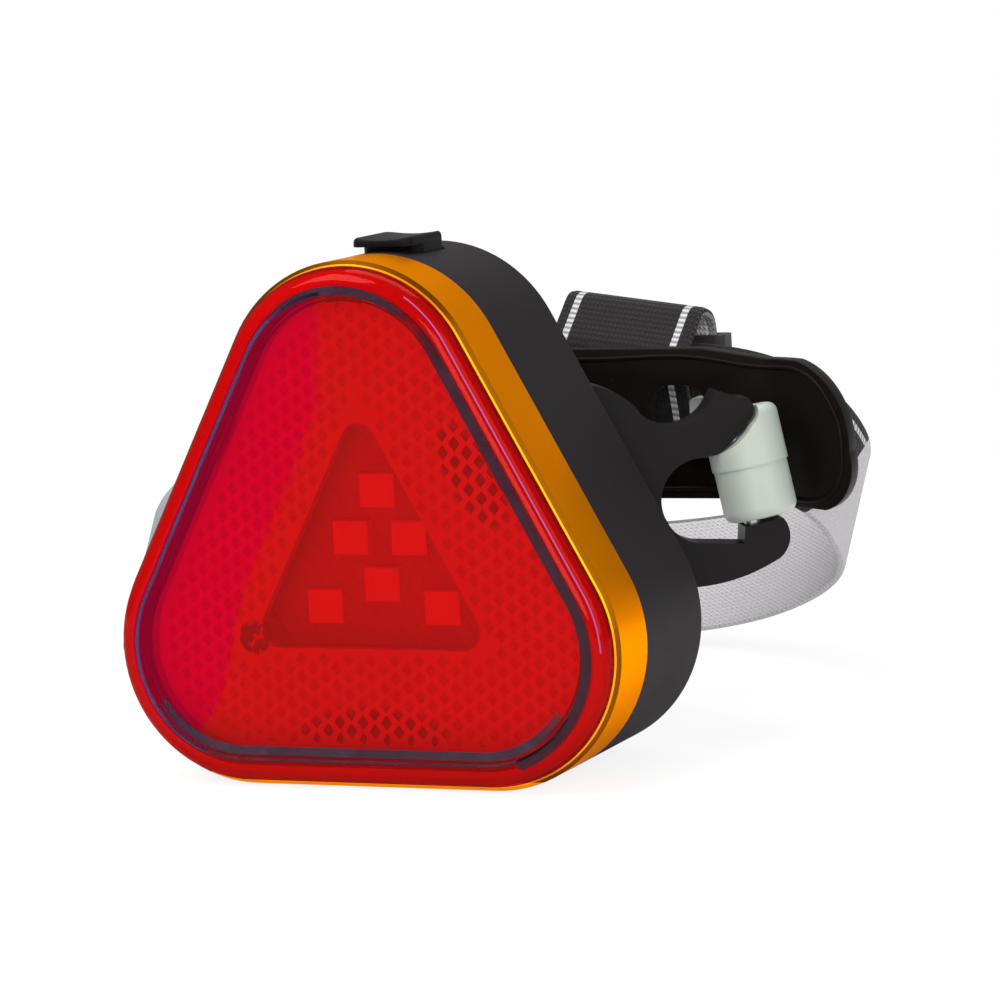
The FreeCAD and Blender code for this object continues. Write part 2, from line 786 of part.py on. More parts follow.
def rear_cover():
    inset = wall_inner - cover_fit
    cover = prism(inset, cover_front, housing_back)
    for place in bracket_screw_places:
        cover = cover.fuse(rod_y(boss_radius, place, cover_front - bracket_boss_wall, cover_front))
    for row in range(2):
        middle = cell_low + row * cell_pitch
        front = cell_y + cell_radius + cell_fit
        for x in (-cover_rib_x, cover_rib_x):
            cover = cover.fuse(block((x - cover_rib / 2, x + cover_rib / 2), (front, cover_front),
                                     (middle - cover_rib, middle + cover_rib)))
    for place in cover_screw_places:
        cover = cover.cut(rod_y(screw_radius + panel_fit, place, cover_front - 1, housing_back + 1))
        cover = cover.cut(rod_y(screw_head_radius + panel_fit, place, housing_back - screw_head_height,
                                housing_back + 1))
    for place in bracket_screw_places:
        cover = cover.cut(rod_y(screw_radius + screw_fit, place, cover_front - bracket_boss_wall - 1,
                                housing_back + 1))
    return cover.removeSplitter()


def cover_seal():
    outer = wall_inner - cover_fit
    back = cover_front
    seal = wall(outer, wall_inner - ledge_width, back - cover_seal_height, back)
    for place in cover_screw_places:
        seal = seal.cut(rod_y(cover_boss_radius + cover_fit, place, back - 2, back + 1))
    return seal


def cover_screws():
    solids = []
    head_front = housing_back - screw_head_height
    length = cover_screw_length - screw_head_height
    for place in cover_screw_places:
        solids.append(back_screw(place, head_front, screw_head_height, length))
    return Part.makeCompound(solids)


def fork_point(s, z, n=0.0):
    """Point of the fork's own plane: s outwards from its root, z up, n towards the back."""
    angle = math.radians(fork_angle)
    x = fork_root[0] + s * math.cos(angle) - n * math.sin(angle)
    y = fork_root[1] + s * math.sin(angle) + n * math.cos(angle)
    return Vector(x, y, z)


def fork_face():
    """Side view of the two arms, from the photographed outline."""
    edges = []
    for run in fork_profile:
        points = [fork_point(s, z, fork_front) for s, z in run]
        edges.append(Part.LineSegment(*points).toShape() if len(points) == 2 else Part.Arc(*points).toShape())
    return Part.Face(Part.Wire(edges))


def fork_plate():
    return fork_face().extrude(fork_point(0, 0, fork_wall) - fork_point(0, 0))


def pin_ends():
    """Ends and direction of the hook link's pin, in the middle of the fork's plate."""
    middle = fork_front + fork_wall / 2
    low = fork_point(*link_pin_low, middle)
    high = fork_point(*link_pin_high, middle)
    return low, high, (high - low).normalize()


def rear_bracket():
    base = rounded_block((bracket_left, bracket_right), (0, bracket_wall), (bracket_low, bracket_high),
                         bracket_corner, Vector(0, 1, 0))
    parts = [base, fork_plate()]
    for low, high in ((ear_low, ear_low + ear_wall), (ear_high - ear_wall, ear_high)):
        parts.append(rod_z(ear_radius, (anchor_x, anchor_y), low, high))
        parts.append(block((anchor_x - ear_radius, anchor_x + ear_radius), (0, anchor_y), (low, high)))
    bracket = fused(parts)
    bracket = bracket.cut(rod_z(anchor_pin_radius + pin_fit, (anchor_x, anchor_y), ear_low - 1, ear_high + 1))
    low, high, way = pin_ends()
    bracket = bracket.cut(rod(link_pin_radius + pin_fit, low, high + way * 3))
    for place in bracket_screw_places:
        bracket = bracket.cut(rod_y(screw_radius + panel_fit, place, -1, bracket_wall + 1))
        bracket = bracket.cut(rod_y(screw_head_radius + panel_fit, place, bracket_wall,
                                    bracket_wall + fork_pocket))
    return bracket


def bracket_screws():
    solids = []
    for place in bracket_screw_places:
        solids.append(back_screw(place, bracket_wall, screw_head_height, bracket_screw_length))
    return Part.makeCompound(solids)


def tube_pad():
    pad = rounded_block((-pad_half_width, pad_half_width), (bracket_wall, bracket_wall + pad_wall),
                        (pad_low, pad_high), pad_corner, Vector(0, 1, 0))
    middle = bracket_wall + pad_middle + post_gap_radius
    return pad.cut(rod_z(post_gap_radius, (0, middle), pad_low - 1, pad_high + 1))


def band_face():
    """Outline of the band seen along Y, wide at the tab and narrow at the anchor."""
    edges = []
    for run in band_profile:
        points = [Vector(x, 0, z) for x, z in run]
        edges.append(Part.LineSegment(*points).toShape() if len(points) == 2 else Part.Arc(*points).toShape())
    return Part.Face(Part.Wire(edges))


def rubber_band():
    angle = math.radians(tab_angle)
    reach = tab_length + band_wall
    tip = Vector(tab_start + reach * math.cos(angle), band_y - reach * math.sin(angle), 0)
    points = [
        tip,
        Vector(tab_start, band_y, 0),
        Vector(band_left, band_y, 0),
        Vector(*band_side, 0),
        Vector(anchor_x, anchor_y, 0),
    ]
    face = ribbon_face(points, [tab_radius, band_bend, band_bend], band_wall, Vector(0, 0, 1))
    silhouette = band_face().extrude(Vector(0, band_y * 2, 0))
    band = face.extrude(Vector(0, 0, silhouette.BoundBox.ZMax + 1)).common(silhouette)
    band = band.fuse(rod_z(anchor_eye, (anchor_x, anchor_y), anchor_low, anchor_high))
    band = band.cut(rod_z(anchor_pin_radius + pin_fit, (anchor_x, anchor_y), anchor_low - 1, anchor_high + 1))
    x, z = hole_middle
    width, height = hole_size
    hole = rounded_block((x - width / 2, x + width / 2), (band_y - band_wall, band_y + band_wall),
                         (z - height / 2, z + height / 2), hole_round, Vector(0, 1, 0))
    return band.cut(hole).removeSplitter()


def band_pin():
    return rod_z(anchor_pin_radius, (anchor_x, anchor_y), ear_low, ear_high)


def hook_link():
    """Barrel on the fork's pin, with a tongue that hooks the band from behind."""
    top = Vector(*link_top)
    bottom = Vector(*link_bottom)
    way = top - bottom
    split = bottom + way * (1 - link_step)
    barrel = rod(link_radius, split, top)
    barrel = barrel.fuse(rod(link_low_radius, bottom, split))
    ends = [edge for edge in barrel.Edges if edge.CenterOfMass.distanceToPoint(top) < 0.1
            or edge.CenterOfMass.distanceToPoint(bottom) < 0.1]
    barrel = barrel.makeFillet(link_round, ends)
    arm = [
        Vector(link_top[0], link_top[1], 0),
        Vector(tongue_x + tongue_run, tongue_y, 0),
        Vector(tongue_x, tongue_y, 0),
        Vector(tongue_x, lip_y, 0),
        Vector(lip_right, lip_y, 0),
    ]
    face = ribbon_face(arm, tongue_bends, tongue_wall, Vector(0, 0, 1))
    face.translate(Vector(0, 0, tongue_low))
    tongue = face.extrude(Vector(0, 0, tongue_high - tongue_low))
    half = tongue_wall / 2
    lip = rounded_block((tongue_x - half, lip_right), (lip_y - half, lip_y + half), (lip_low, lip_high),
                        lip_corner, Vector(0, 1, 0))
    notch = fork_face().makeOffset2D(link_notch_fit)
    reach = fork_point(0, 0, link_notch_depth) - fork_point(0, 0, fork_front)
    notch = notch.extrude(reach).fuse(notch.extrude(reach * -2))
    link = barrel.fuse(tongue).cut(notch).fuse(lip).removeSplitter()
    low, high, pin_way = pin_ends()
    return link.cut(rod(link_pin_radius + pin_fit, low, high + pin_way * 3))


def hook_pin():
    low, high, way = pin_ends()
    return rod(link_pin_radius, low, high)


def edge_line(side, knots):
    """Smooth line of one edge of the strap's loop: side is 1 at the top and -1 below."""
    points = []
    for x, level, back, z, lean_x, lean_y in strap_route:
        rise = math.sqrt(1 - lean_x ** 2 - lean_y ** 2)
        points.append(Vector(x, level + back, z) + Vector(lean_x, lean_y, rise) * (side * strap_width / 2))
    line = Part.BSplineCurve()
    line.interpolate(Points=points, Parameters=knots)
    return line


def elastic_strap():
    """Loop of the strap: even sections between the smooth lines of its two edges."""
    places = [Vector(x, level + back, z) for x, level, back, z, lean_x, lean_y in strap_route]
    knots = [0.0]
    for before, after in zip(places, places[1:]):
        knots.append(knots[-1] + before.distanceToPoint(after))
    upper = edge_line(1, knots)
    lower = edge_line(-1, knots)
    count = round(knots[-1] / strap_station)
    sections = []
    for index in range(count + 1):
        knot = knots[-1] * index / count
        top = upper.value(knot)
        bottom = lower.value(knot)
        along = upper.tangent(knot)[0] + lower.tangent(knot)[0]
        side = along.cross(top - bottom).normalize() * (strap_wall / 2)
        corners = [bottom - side, bottom + side, top + side, top - side]
        sections.append(Part.makePolygon(corners + [corners[0]]))
    return Part.makeLoft(sections, True, False)


def strap_tail():
    """Free end of the strap, stitched behind the band and curled over."""
    points = [Vector(tail_left, y, z) for y, z in tail_route]
    face = ribbon_face(points, tail_bends, strap_wall, Vector(1, 0, 0))
    return face.extrude(Vector(strap_width, 0, -tail_fall * strap_width))


def strap_slider():
    reach = strap_wall / 2 + slider_fit
    outer = reach + slider_wall
    left = tail_left - slider_fit
    right = tail_left + strap_width + slider_fit
    frame = rounded_block((left - slider_wall, right + slider_wall), (tail_back - outer, tail_back + outer),
                          (slider_low, slider_high), slider_corner, Vector(0, 0, 1))
    slot = block((left, right), (tail_back - reach, tail_back + reach), (slider_low - 1, slider_high + 1))
    return frame.cut(slot)


parts = {
    "lens_cover": lens_cover(),
    "lens_seal": lens_seal(),
    "accent_ring": accent_ring(),
    "prism_panel": prism_panel(),
    "led_board": led_board(),
    "leds": leds(),
    "board_components": board_components(),
    "board_screws": board_screws(),
    "switch_body": switch_body(),
    "switch_plunger": switch_plunger(),
    "button_cap": button_cap(),
    "housing_shell": housing_shell(),
    "battery_tray": battery_tray(),
    "battery_cell_lower": battery_cell(0),
    "battery_cell_upper": battery_cell(1),
    "spring_contacts": spring_contacts(),
    "plate_contacts": plate_contacts(),
    "wire_red": wire(1),
    "wire_black": wire(-1),
    "rear_cover": rear_cover(),
    "cover_seal": cover_seal(),
    "cover_screws": cover_screws(),
}
rear_parts = {
    "rear_bracket": rear_bracket(),
    "bracket_screws": bracket_screws(),
    "tube_pad": tube_pad(),
    "rubber_band": rubber_band(),
    "band_pin": band_pin(),
    "hook_link": hook_link(),
    "hook_pin": hook_pin(),
    "elastic_strap": elastic_strap(),
    "strap_tail": strap_tail(),
    "strap_slider": strap_slider(),
}
for name, shape in rear_parts.items():
    shape.translate(Vector(0, housing_back, 0))
    parts[name] = shape

os.makedirs("parts", exist_ok=True)
for name, shape in parts.items():
    print(name, "valid" if shape.isValid() else "INVALID", len(shape.Solids), round(shape.Volume, 1))
    shape.exportStep("parts/" + name + ".step")
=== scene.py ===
import bpy
import bmesh
import json
import math
import numpy as np
from mathutils import Matrix, Vector


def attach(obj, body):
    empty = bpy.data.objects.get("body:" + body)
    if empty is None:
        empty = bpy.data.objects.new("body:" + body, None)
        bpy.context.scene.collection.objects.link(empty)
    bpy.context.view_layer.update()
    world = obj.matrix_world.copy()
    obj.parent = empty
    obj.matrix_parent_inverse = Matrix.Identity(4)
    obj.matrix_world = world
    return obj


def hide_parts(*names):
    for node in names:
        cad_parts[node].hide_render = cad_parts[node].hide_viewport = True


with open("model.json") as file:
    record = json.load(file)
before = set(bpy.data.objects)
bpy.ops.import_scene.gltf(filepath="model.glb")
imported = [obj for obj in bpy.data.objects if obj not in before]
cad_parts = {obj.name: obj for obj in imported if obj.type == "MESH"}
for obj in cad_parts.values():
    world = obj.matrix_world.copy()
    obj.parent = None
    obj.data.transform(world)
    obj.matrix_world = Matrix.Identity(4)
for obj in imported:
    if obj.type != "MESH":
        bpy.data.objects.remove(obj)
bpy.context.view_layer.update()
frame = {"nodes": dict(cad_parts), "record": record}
nodes = frame["nodes"]
mm = 0.001
print("frame loaded:", len(nodes), "nodes")


def tone(red, green, blue):
    # a screen colour as linear light
    parts = [value / 255 for value in (red, green, blue)]
    linear = [part / 12.92 if part <= 0.04045 else ((part + 0.055) / 1.055) ** 2.4 for part in parts]
    return (*linear, 1.0)


# Shader building: one class for sums on sockets, one for a material's tree

class Amount:
    def __init__(self, paint, socket):
        self.paint = paint
        self.socket = socket

    def sum(self, operation, first, second=None):
        values = {0: first}
        if second is not None:
            values[1] = second
        return self.paint.amount("ShaderNodeMath", {"operation": operation}, values)

    def __add__(self, other):
        return self.sum("ADD", self, other)

    def __radd__(self, other):
        return self.sum("ADD", other, self)

    def __sub__(self, other):
        return self.sum("SUBTRACT", self, other)

    def __rsub__(self, other):
        return self.sum("SUBTRACT", other, self)

    def __mul__(self, other):
        return self.sum("MULTIPLY", self, other)

    def __rmul__(self, other):
        return self.sum("MULTIPLY", other, self)

    def __truediv__(self, other):
        return self.sum("DIVIDE", self, other)

    def __rtruediv__(self, other):
        return self.sum("DIVIDE", other, self)

    def __pow__(self, other):
        return self.sum("POWER", self, other)

    def __gt__(self, other):
        return self.sum("GREATER_THAN", self, other)

    def __lt__(self, other):
        return self.sum("LESS_THAN", self, other)

    def __mod__(self, other):
        return self.sum("FLOORED_MODULO", self, other)

    def __abs__(self):
        return self.sum("ABSOLUTE", self)

    def wave(self):
        return self.sum("SINE", self)

    def least(self, other):
        return self.sum("MINIMUM", self, other)

    def most(self, other):
        return self.sum("MAXIMUM", self, other)


class Paint:
    def __init__(self, name):
        self.material = bpy.data.materials.new(name)
        self.material.use_nodes = True
        self.tree = self.material.node_tree
        self.tree.nodes.clear()
        self.out = self.tree.nodes.new("ShaderNodeOutputMaterial")

    def node(self, kind, settings=None, values=None):
        made = self.tree.nodes.new(kind)
        for key, setting in (settings or {}).items():
            setattr(made, key, setting)
        for key, value in (values or {}).items():
            if isinstance(value, Amount):
                value = value.socket
            if isinstance(value, bpy.types.NodeSocket):
                self.tree.links.new(value, made.inputs[key])
            else:
                made.inputs[key].default_value = value
        return made

    def amount(self, kind, settings=None, values=None):
        return Amount(self, self.node(kind, settings, values).outputs[0])

    def place(self):
        return self.node("ShaderNodeTexCoord").outputs["Object"]

    def axes(self, vector):
        parts = self.node("ShaderNodeSeparateXYZ", {}, {"Vector": vector})
        return [Amount(self, output) for output in parts.outputs]

    def noise(self, size, detail):
        values = {"Vector": self.place(), "Scale": 1 / size, "Detail": detail}
        return self.amount("ShaderNodeTexNoise", {}, values)

    def mixed(self, share, first, second):
        return self.node("ShaderNodeMix", {"data_type": "RGBA"}, {0: share, 6: first, 7: second}).outputs[2]

    def blend(self, share, first, second):
        return self.node("ShaderNodeMixShader", {}, {0: share, 1: first, 2: second}).outputs[0]

    def clear(self, colour=(1, 1, 1, 1)):
        return self.node("ShaderNodeBsdfTransparent", {}, {"Color": colour}).outputs[0]

    def glow(self, colour, strength):
        return self.node("ShaderNodeEmission", {}, {"Color": colour, "Strength": strength}).outputs[0]

    def bump(self, height, depth, strength=1.0):
        values = {"Height": height, "Distance": depth, "Strength": strength}
        return self.node("ShaderNodeBump", {}, values).outputs[0]

    def gloss(self, colour, roughness, metallic=0.0, normal=None, **constants):
        values = {"Base Color": colour, "Roughness": roughness, "Metallic": metallic}
        values.update({key.replace("_", " "): value for key, value in constants.items()})
        if normal is not None:
            values["Normal"] = normal
        return self.node("ShaderNodeBsdfPrincipled", {}, values).outputs[0]

    def done(self, shader):
        self.tree.links.new(shader, self.out.inputs[0])
        return self.material


# Finishes

def redLens():
    look = {"tint": (0.935, 0.05, 0.045, 1), "body": tone(228, 8, 18), "bodyShare": 0.10, "cloud": 0.04,
            "shine": (0.36, 0.1, 0.08, 1), "shineRough": 0.03, "refraction": 1.49}
    paint = Paint("redLens")
    body = paint.gloss(look["body"], 0.4, Specular_IOR_Level=0.0)
    share = look["bodyShare"] + paint.noise(9 * mm, 3) * look["cloud"]
    inside = paint.blend(share, paint.clear(look["tint"]), body)
    gloss = {"Color": look["shine"], "Roughness": look["shineRough"]}
    shine = paint.node("ShaderNodeBsdfGlossy", {}, gloss).outputs[0]
    edge = paint.amount("ShaderNodeFresnel", {}, {"IOR": look["refraction"]})
    return paint.done(paint.blend(edge, inside, shine))


def prismRed():
    look = {"clearShare": 0.08, "clearTint": (1.0, 0.4, 0.4, 1)}
    paint = Paint("prismRed")
    colour = paint.mixed(paint.noise(6 * mm, 2), tone(236, 60, 50), tone(250, 80, 66))
    solid = paint.gloss(colour, 0.25, Specular_IOR_Level=0.5)
    return paint.done(paint.blend(look["clearShare"], solid, paint.clear(look["clearTint"])))


def prismFacets():
    # dark where the cells throw the light away from the camera; a patch has its middle, halves and turn
    look = {"patches": (((-0.1, 6.0), (12.0, 4.6), 0.0), ((15.2, 39.8), (8.6, 3.6), 61.0)),
            "edge": 1.8, "darkShare": 0.92}
    paint = Paint("prismFacets")
    x, _, z = paint.axes(paint.place())
    dark = 0.0
    for (middleX, middleZ), (long, wide), angle in look["patches"]:
        turn = math.radians(angle)
        along = (x - middleX * mm) * math.cos(turn) - (z - middleZ * mm) * math.sin(turn)
        across = (x - middleX * mm) * math.sin(turn) + (z - middleZ * mm) * math.cos(turn)
        reach = (along / (long * mm)) ** 2.0 + (across / (wide * mm)) ** 2.0
        dark = dark + ((1.0 - reach) * look["edge"]).most(0.0).least(1.0)
    colour = paint.mixed(paint.noise(5 * mm, 2), tone(196, 36, 32), tone(222, 50, 42))
    colour = paint.mixed(dark * look["darkShare"], colour, tone(70, 6, 14))
    return paint.done(paint.gloss(colour, 0.3, Specular_IOR_Level=0.3))


def screwSwirl():
    paint = Paint("screwSwirl")
    marks = paint.noise(1.1 * mm, 2)
    colour = paint.mixed((marks > 0.52) * 0.75, tone(96, 8, 14), tone(226, 50, 42))
    return paint.done(paint.gloss(colour, 0.3, Specular_IOR_Level=0.2))


def plainRed(name, colour, roughness=0.5):
    paint = Paint(name)
    cloud = paint.noise(5 * mm, 2)
    darker = tuple(part * 0.86 for part in colour[:3]) + (1.0,)
    return paint.done(paint.gloss(paint.mixed(cloud, colour, darker), roughness, Specular_IOR_Level=0.1))


def boardRed():
    tracks = {"pitch": 2.4 * mm, "half": 0.16 * mm, "slant": 0.6, "depth": 0.05 * mm}
    paint = Paint("boardMask")
    x, _, z = paint.axes(paint.place())
    track = abs((x + z * tracks["slant"]) % tracks["pitch"] - tracks["pitch"] / 2) < tracks["half"]
    cloud = paint.noise(12 * mm, 2)
    colour = paint.mixed(track * 0.35 + cloud * 0.2, tone(186, 150, 142), tone(150, 118, 110))
    return paint.done(paint.gloss(colour, 0.45, normal=paint.bump(track, tracks["depth"])))


def lampResin():
    paint = Paint("lampResin")
    cloud = paint.noise(2 * mm, 2)
    colour = paint.mixed(cloud, tone(255, 248, 236), tone(255, 252, 246))
    return paint.done(paint.gloss(colour, 0.3))


def amberMetal():
    ring = {"chamferFront": -14.02, "chamferBack": -13.5, "paintedGlowTop": 1.3, "paintedGlowFront": -13}
    paint = Paint("amberMetal")
    grain = paint.noise(0.25 * mm, 2)
    colour = paint.mixed(paint.noise(18 * mm, 2), tone(230, 134, 22), tone(246, 150, 28))
    _, y, z = paint.axes(paint.place())
    # painted shade: the chamfer next to the lens gets a darker amber to damp the lamps' bright reflection
    # on it
    chamfer = (y < ring["chamferBack"] * mm) * (y > ring["chamferFront"] * mm)
    colour = paint.mixed(chamfer, colour, tone(110, 62, 4))
    # painted light: the low front edge of the ring glows amber by emission, standing in for a lit strip
    # there
    low = (z < ring["paintedGlowTop"] * mm) * (y < ring["paintedGlowFront"] * mm)
    glow = paint.mixed(low, (0, 0, 0, 1), tone(236, 140, 10))
    normal = paint.bump(grain, 0.012 * mm, 0.6)
    return paint.done(paint.gloss(colour, 0.32 + grain * 0.08, 1.0, normal, Emission_Color=glow,
                                  Emission_Strength=0.8, Specular_Tint=(1.0, 0.6, 0.14, 1)))


def mouldedBlack(name, colour, roughness, grainSize, depth, shine=0.2):
    paint = Paint(name)
    grain = paint.noise(grainSize, 3)
    cloud = paint.noise(14 * mm, 3)
    lighter = tuple(min(1.0, part * 1.5) for part in colour[:3]) + (1.0,)
    ground = paint.mixed(cloud * grain, colour, lighter)
    return paint.done(paint.gloss(ground, roughness + cloud * 0.12, 0.0, paint.bump(grain, depth),
                                  Specular_IOR_Level=shine))


def steel(name, colour):
    paint = Paint(name)
    grain = paint.noise(0.6 * mm, 3)
    mixed = paint.mixed(grain, colour, tuple(part * 0.8 for part in colour[:3]) + (1.0,))
    return paint.done(paint.gloss(mixed, 0.28 + grain * 0.15, 1.0, paint.bump(grain, 0.02 * mm)))


def nylonWhite():
    paint = Paint("nylonWhite")
    cloud = paint.noise(7 * mm, 3)
    grain = paint.noise(0.3 * mm, 2)
    colour = paint.mixed(cloud, tone(142, 150, 141), tone(154, 161, 152))
    return paint.done(paint.gloss(colour, 0.38 + cloud * 0.1, 0.0, paint.bump(grain, 0.01 * mm),
                                  Subsurface_Weight=0.25, Subsurface_Radius=(0.004, 0.004, 0.003)))


def cellSleeve():
    bandHalf = 9 * mm
    paint = Paint("cellSleeve")
    x, _, _ = paint.axes(paint.place())
    cloud = paint.noise(8 * mm, 2)
    colour = paint.mixed(abs(x) < bandHalf, tone(64, 96, 74), tone(176, 178, 176))
    return paint.done(paint.gloss(colour, 0.3 + cloud * 0.1, 0.5))


def plainPlastic(name, colour, roughness):
    paint = Paint(name)
    grain = paint.noise(0.8 * mm, 2)
    darker = tuple(part * 0.8 for part in colour[:3]) + (1.0,)
    return paint.done(paint.gloss(paint.mixed(grain, colour, darker), roughness + grain * 0.1, 0.0,
                                  paint.bump(grain, 0.01 * mm)))


def stretchRubber():
    paint = Paint("stretchRubber")
    dust = paint.noise(2.6 * mm, 2) > 0.74
    cloud = paint.noise(16 * mm, 3)
    colour = paint.mixed(cloud, tone(8, 4, 3), tone(13, 8, 6))
    colour = paint.mixed(dust * 0.2, colour, tone(70, 62, 58))
    grain = paint.noise(0.35 * mm, 2)
    return paint.done(paint.gloss(colour, 0.42 + cloud * 0.14, 0.0, paint.bump(grain, 0.015 * mm),
                                  Specular_IOR_Level=0.07))


def weave(name, outside):
    cloth = {"cord": 0.62, "rib": 0.95, "depth": 0.09, "half": 10, "stripe": 7.9, "stripeHalf": 0.48,
             "selvedge": 9.2}
    turned = {"left": -26, "behind": 68, "level": 28.3, "slope": 0.32, "shadeFrom": -46, "shadeLength": 16}
    paint = Paint(name)
    flat = paint.node("ShaderNodeUVMap", {"uv_map": "strapMap"}).outputs[0]
    along, across, _ = paint.axes(flat)
    ribs = (along * (2 * math.pi / (cloth["rib"] * mm))).wave()
    cords = (across * (2 * math.pi / (cloth["cord"] * mm))).wave()
    threads = ribs * 0.5 + cords * 0.3 + ribs * cords * 0.5
    fuzz = paint.noise(0.18 * mm, 2)
    edge = across - cloth["half"] * mm
    if outside:
        stripe = (abs(abs(edge) - cloth["stripe"] * mm) < cloth["stripeHalf"] * mm) * (ribs * 0.35 + 0.65)
        x, y, z = paint.axes(paint.place())
        # black with stripes in front, up to a slanting line at the right, and pale from there on
        line = (y - turned["behind"] * mm) * turned["slope"] + turned["level"] * mm
        front = (x > turned["left"] * mm) * (z > line)
        shaded = ((turned["shadeFrom"] * mm - x) / (turned["shadeLength"] * mm)).most(0.0).least(1.0)
        ground = paint.mixed(fuzz, tone(17, 14, 15), tone(33, 30, 31))
        colour = paint.mixed(stripe * (0.85 + fuzz * 0.15), ground, tone(190, 190, 192))
        pale = paint.mixed(fuzz, tone(160, 157, 160), tone(174, 171, 174))
        pale = paint.mixed(shaded, pale, tone(122, 129, 133))
        colour = paint.mixed(front, pale, colour)
    else:
        dots = ((ribs * cords) > 0.35) * 0.35
        ground = paint.mixed(fuzz, tone(168, 165, 168), tone(182, 179, 182))
        colour = paint.mixed(dots, ground, tone(112, 110, 114))
        selvedge = edge > cloth["selvedge"] * mm
        colour = paint.mixed(selvedge * 0.75, colour, tone(70, 68, 70))
    normal = paint.bump(threads + fuzz * 0.6, cloth["depth"] * mm)
    return paint.done(paint.gloss(colour, 0.85, 0.0, normal,
                                  Specular_IOR_Level=0.15, Sheen_Weight=0.06, Sheen_Roughness=0.4))


finishes = {
    "red_lens": redLens(),
    "seal_rubber": plainPlastic("sealRubber", tone(34, 33, 34), 0.6),
    "amber_trim": amberMetal(),
    "prism_plastic": prismRed(),
    "board_laminate": boardRed(),
    "led_resin": lampResin(),
    "chip_resin": plainPlastic("chipResin", tone(40, 40, 42), 0.5),
    "screw_steel": steel("screwSteel", (0.55, 0.55, 0.56, 1)),
    "switch_case": plainPlastic("switchCase", tone(42, 42, 44), 0.5),
    "switch_stem": plainPlastic("switchStem", tone(180, 40, 36), 0.4),
    "button_rubber": mouldedBlack("buttonRubber", tone(9, 7, 8), 0.45, 0.25 * mm, 0.008 * mm, 0.07),
    "housing_plastic": mouldedBlack("housingPlastic", tone(21, 16, 19), 0.55, 0.22 * mm, 0.02 * mm, 0.1),
    "tray_plastic": plainPlastic("trayPlastic", tone(46, 46, 48), 0.5),
    "cell_sleeve": cellSleeve(),
    "contact_steel": steel("contactSteel", (0.68, 0.66, 0.6, 1)),
    "wire_red": plainPlastic("wireRed", tone(176, 30, 28), 0.35),
    "wire_black": plainPlastic("wireBlack", tone(30, 30, 30), 0.35),
    "bracket_plastic": mouldedBlack("bracketPlastic", tone(12, 9, 10), 0.34, 0.5 * mm, 0.012 * mm, 0.1),
    "pad_rubber": mouldedBlack("padRubber", tone(38, 36, 36), 0.6, 0.4 * mm, 0.02 * mm),
    "band_rubber": stretchRubber(),
    "pin_steel": steel("pinSteel", (0.6, 0.6, 0.61, 1)),
    "nylon": nylonWhite(),
    "woven_elastic": weave("weaveOutside", True),
    "slider_plastic": mouldedBlack("sliderPlastic", tone(36, 34, 36), 0.45, 0.3 * mm, 0.01 * mm),
}
weaveInside = weave("weaveInside", False)
facets = prismFacets()
for entry in frame["record"]["subparts"]:
    solid = nodes[entry["node"]]
    solid.data.materials.clear()
    solid.data.materials.append(finishes[entry["material_slot"]])
print("finishes ready:", len(finishes) + 1)


# Small helpers for pieces

def pieceFrom(name, points, faces, material=None):
    mesh = bpy.data.meshes.new(name)
    mesh.from_pydata([tuple(point) for point in points], [], faces)
    if material:
        mesh.materials.append(material)
    made = bpy.data.objects.new(name, mesh)
    bpy.context.scene.collection.objects.link(made)
    return made


def smoothShade(piece, angle):
    bpy.ops.object.select_all(action="DESELECT")
    bpy.context.view_layer.objects.active = piece
    piece.select_set(True)
    bpy.ops.object.shade_smooth_by_angle(angle=math.radians(angle))


def facesOutward(piece):
    work = bmesh.new()
    work.from_mesh(piece.data)
    bmesh.ops.recalc_face_normals(work, faces=work.faces)
    work.to_mesh(piece.data)
    work.free()


def plainMesh(piece):
    graph = bpy.context.evaluated_depsgraph_get()
    mesh = bpy.data.meshes.new_from_object(piece.evaluated_get(graph))
    piece.modifiers.clear()
    piece.data = mesh


def roundedCopy(node, name, width, steps, slotName, body="light"):
    limits = {"merge": 0.002 * mm, "flat": 1.0, "sharp": 35}
    mesh = nodes[node].data.copy()
    made = bpy.data.objects.new(name, mesh)
    bpy.context.scene.collection.objects.link(made)
    work = bmesh.new()
    work.from_mesh(mesh)
    bmesh.ops.remove_doubles(work, verts=work.verts, dist=limits["merge"])
    bmesh.ops.dissolve_limit(work, angle_limit=math.radians(limits["flat"]), verts=work.verts,
                             edges=work.edges)
    work.to_mesh(mesh)
    work.free()
    mesh.materials.clear()
    mesh.materials.append(finishes[slotName])
    bevel = made.modifiers.new("rounding", "BEVEL")
    bevel.width = width
    bevel.segments = steps
    bevel.limit_method = "ANGLE"
    bevel.angle_limit = math.radians(limits["sharp"])
    plainMesh(made)
    smoothShade(made, limits["sharp"])
    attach(made, body)
    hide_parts(node)


def smoothLine(knots, values, wanted):
    # a natural cubic line through the values
    knots = np.array(knots, float)
    values = np.array(values, float)
    count = len(knots)
    steps = np.diff(knots)
    system = np.eye(count)
    right = np.zeros_like(values)
    for index in range(1, count - 1):
        before, after = steps[index - 1], steps[index]
        system[index, index - 1:index + 2] = (before, 2 * (before + after), after)
        right[index] = 6 * ((values[index + 1] - values[index]) / after
                            - (values[index] - values[index - 1]) / before)
    bends = np.linalg.solve(system, right)
    result = []
    for place in wanted:
        index = min(max(int(np.searchsorted(knots, place)) - 1, 0), count - 2)
        step = steps[index]
        before = (knots[index + 1] - place) / step
        after = (place - knots[index]) / step
        bend = (before ** 3 - before) * bends[index] + (after ** 3 - after) * bends[index + 1]
        result.append(before * values[index] + after * values[index + 1] + bend * step ** 2 / 6)
    return np.array(result)


webSection = {"columns": 20, "inset": 0.035, "edge": ((0.99, 0.38), (1.0, 0.0), (0.99, -0.38))}


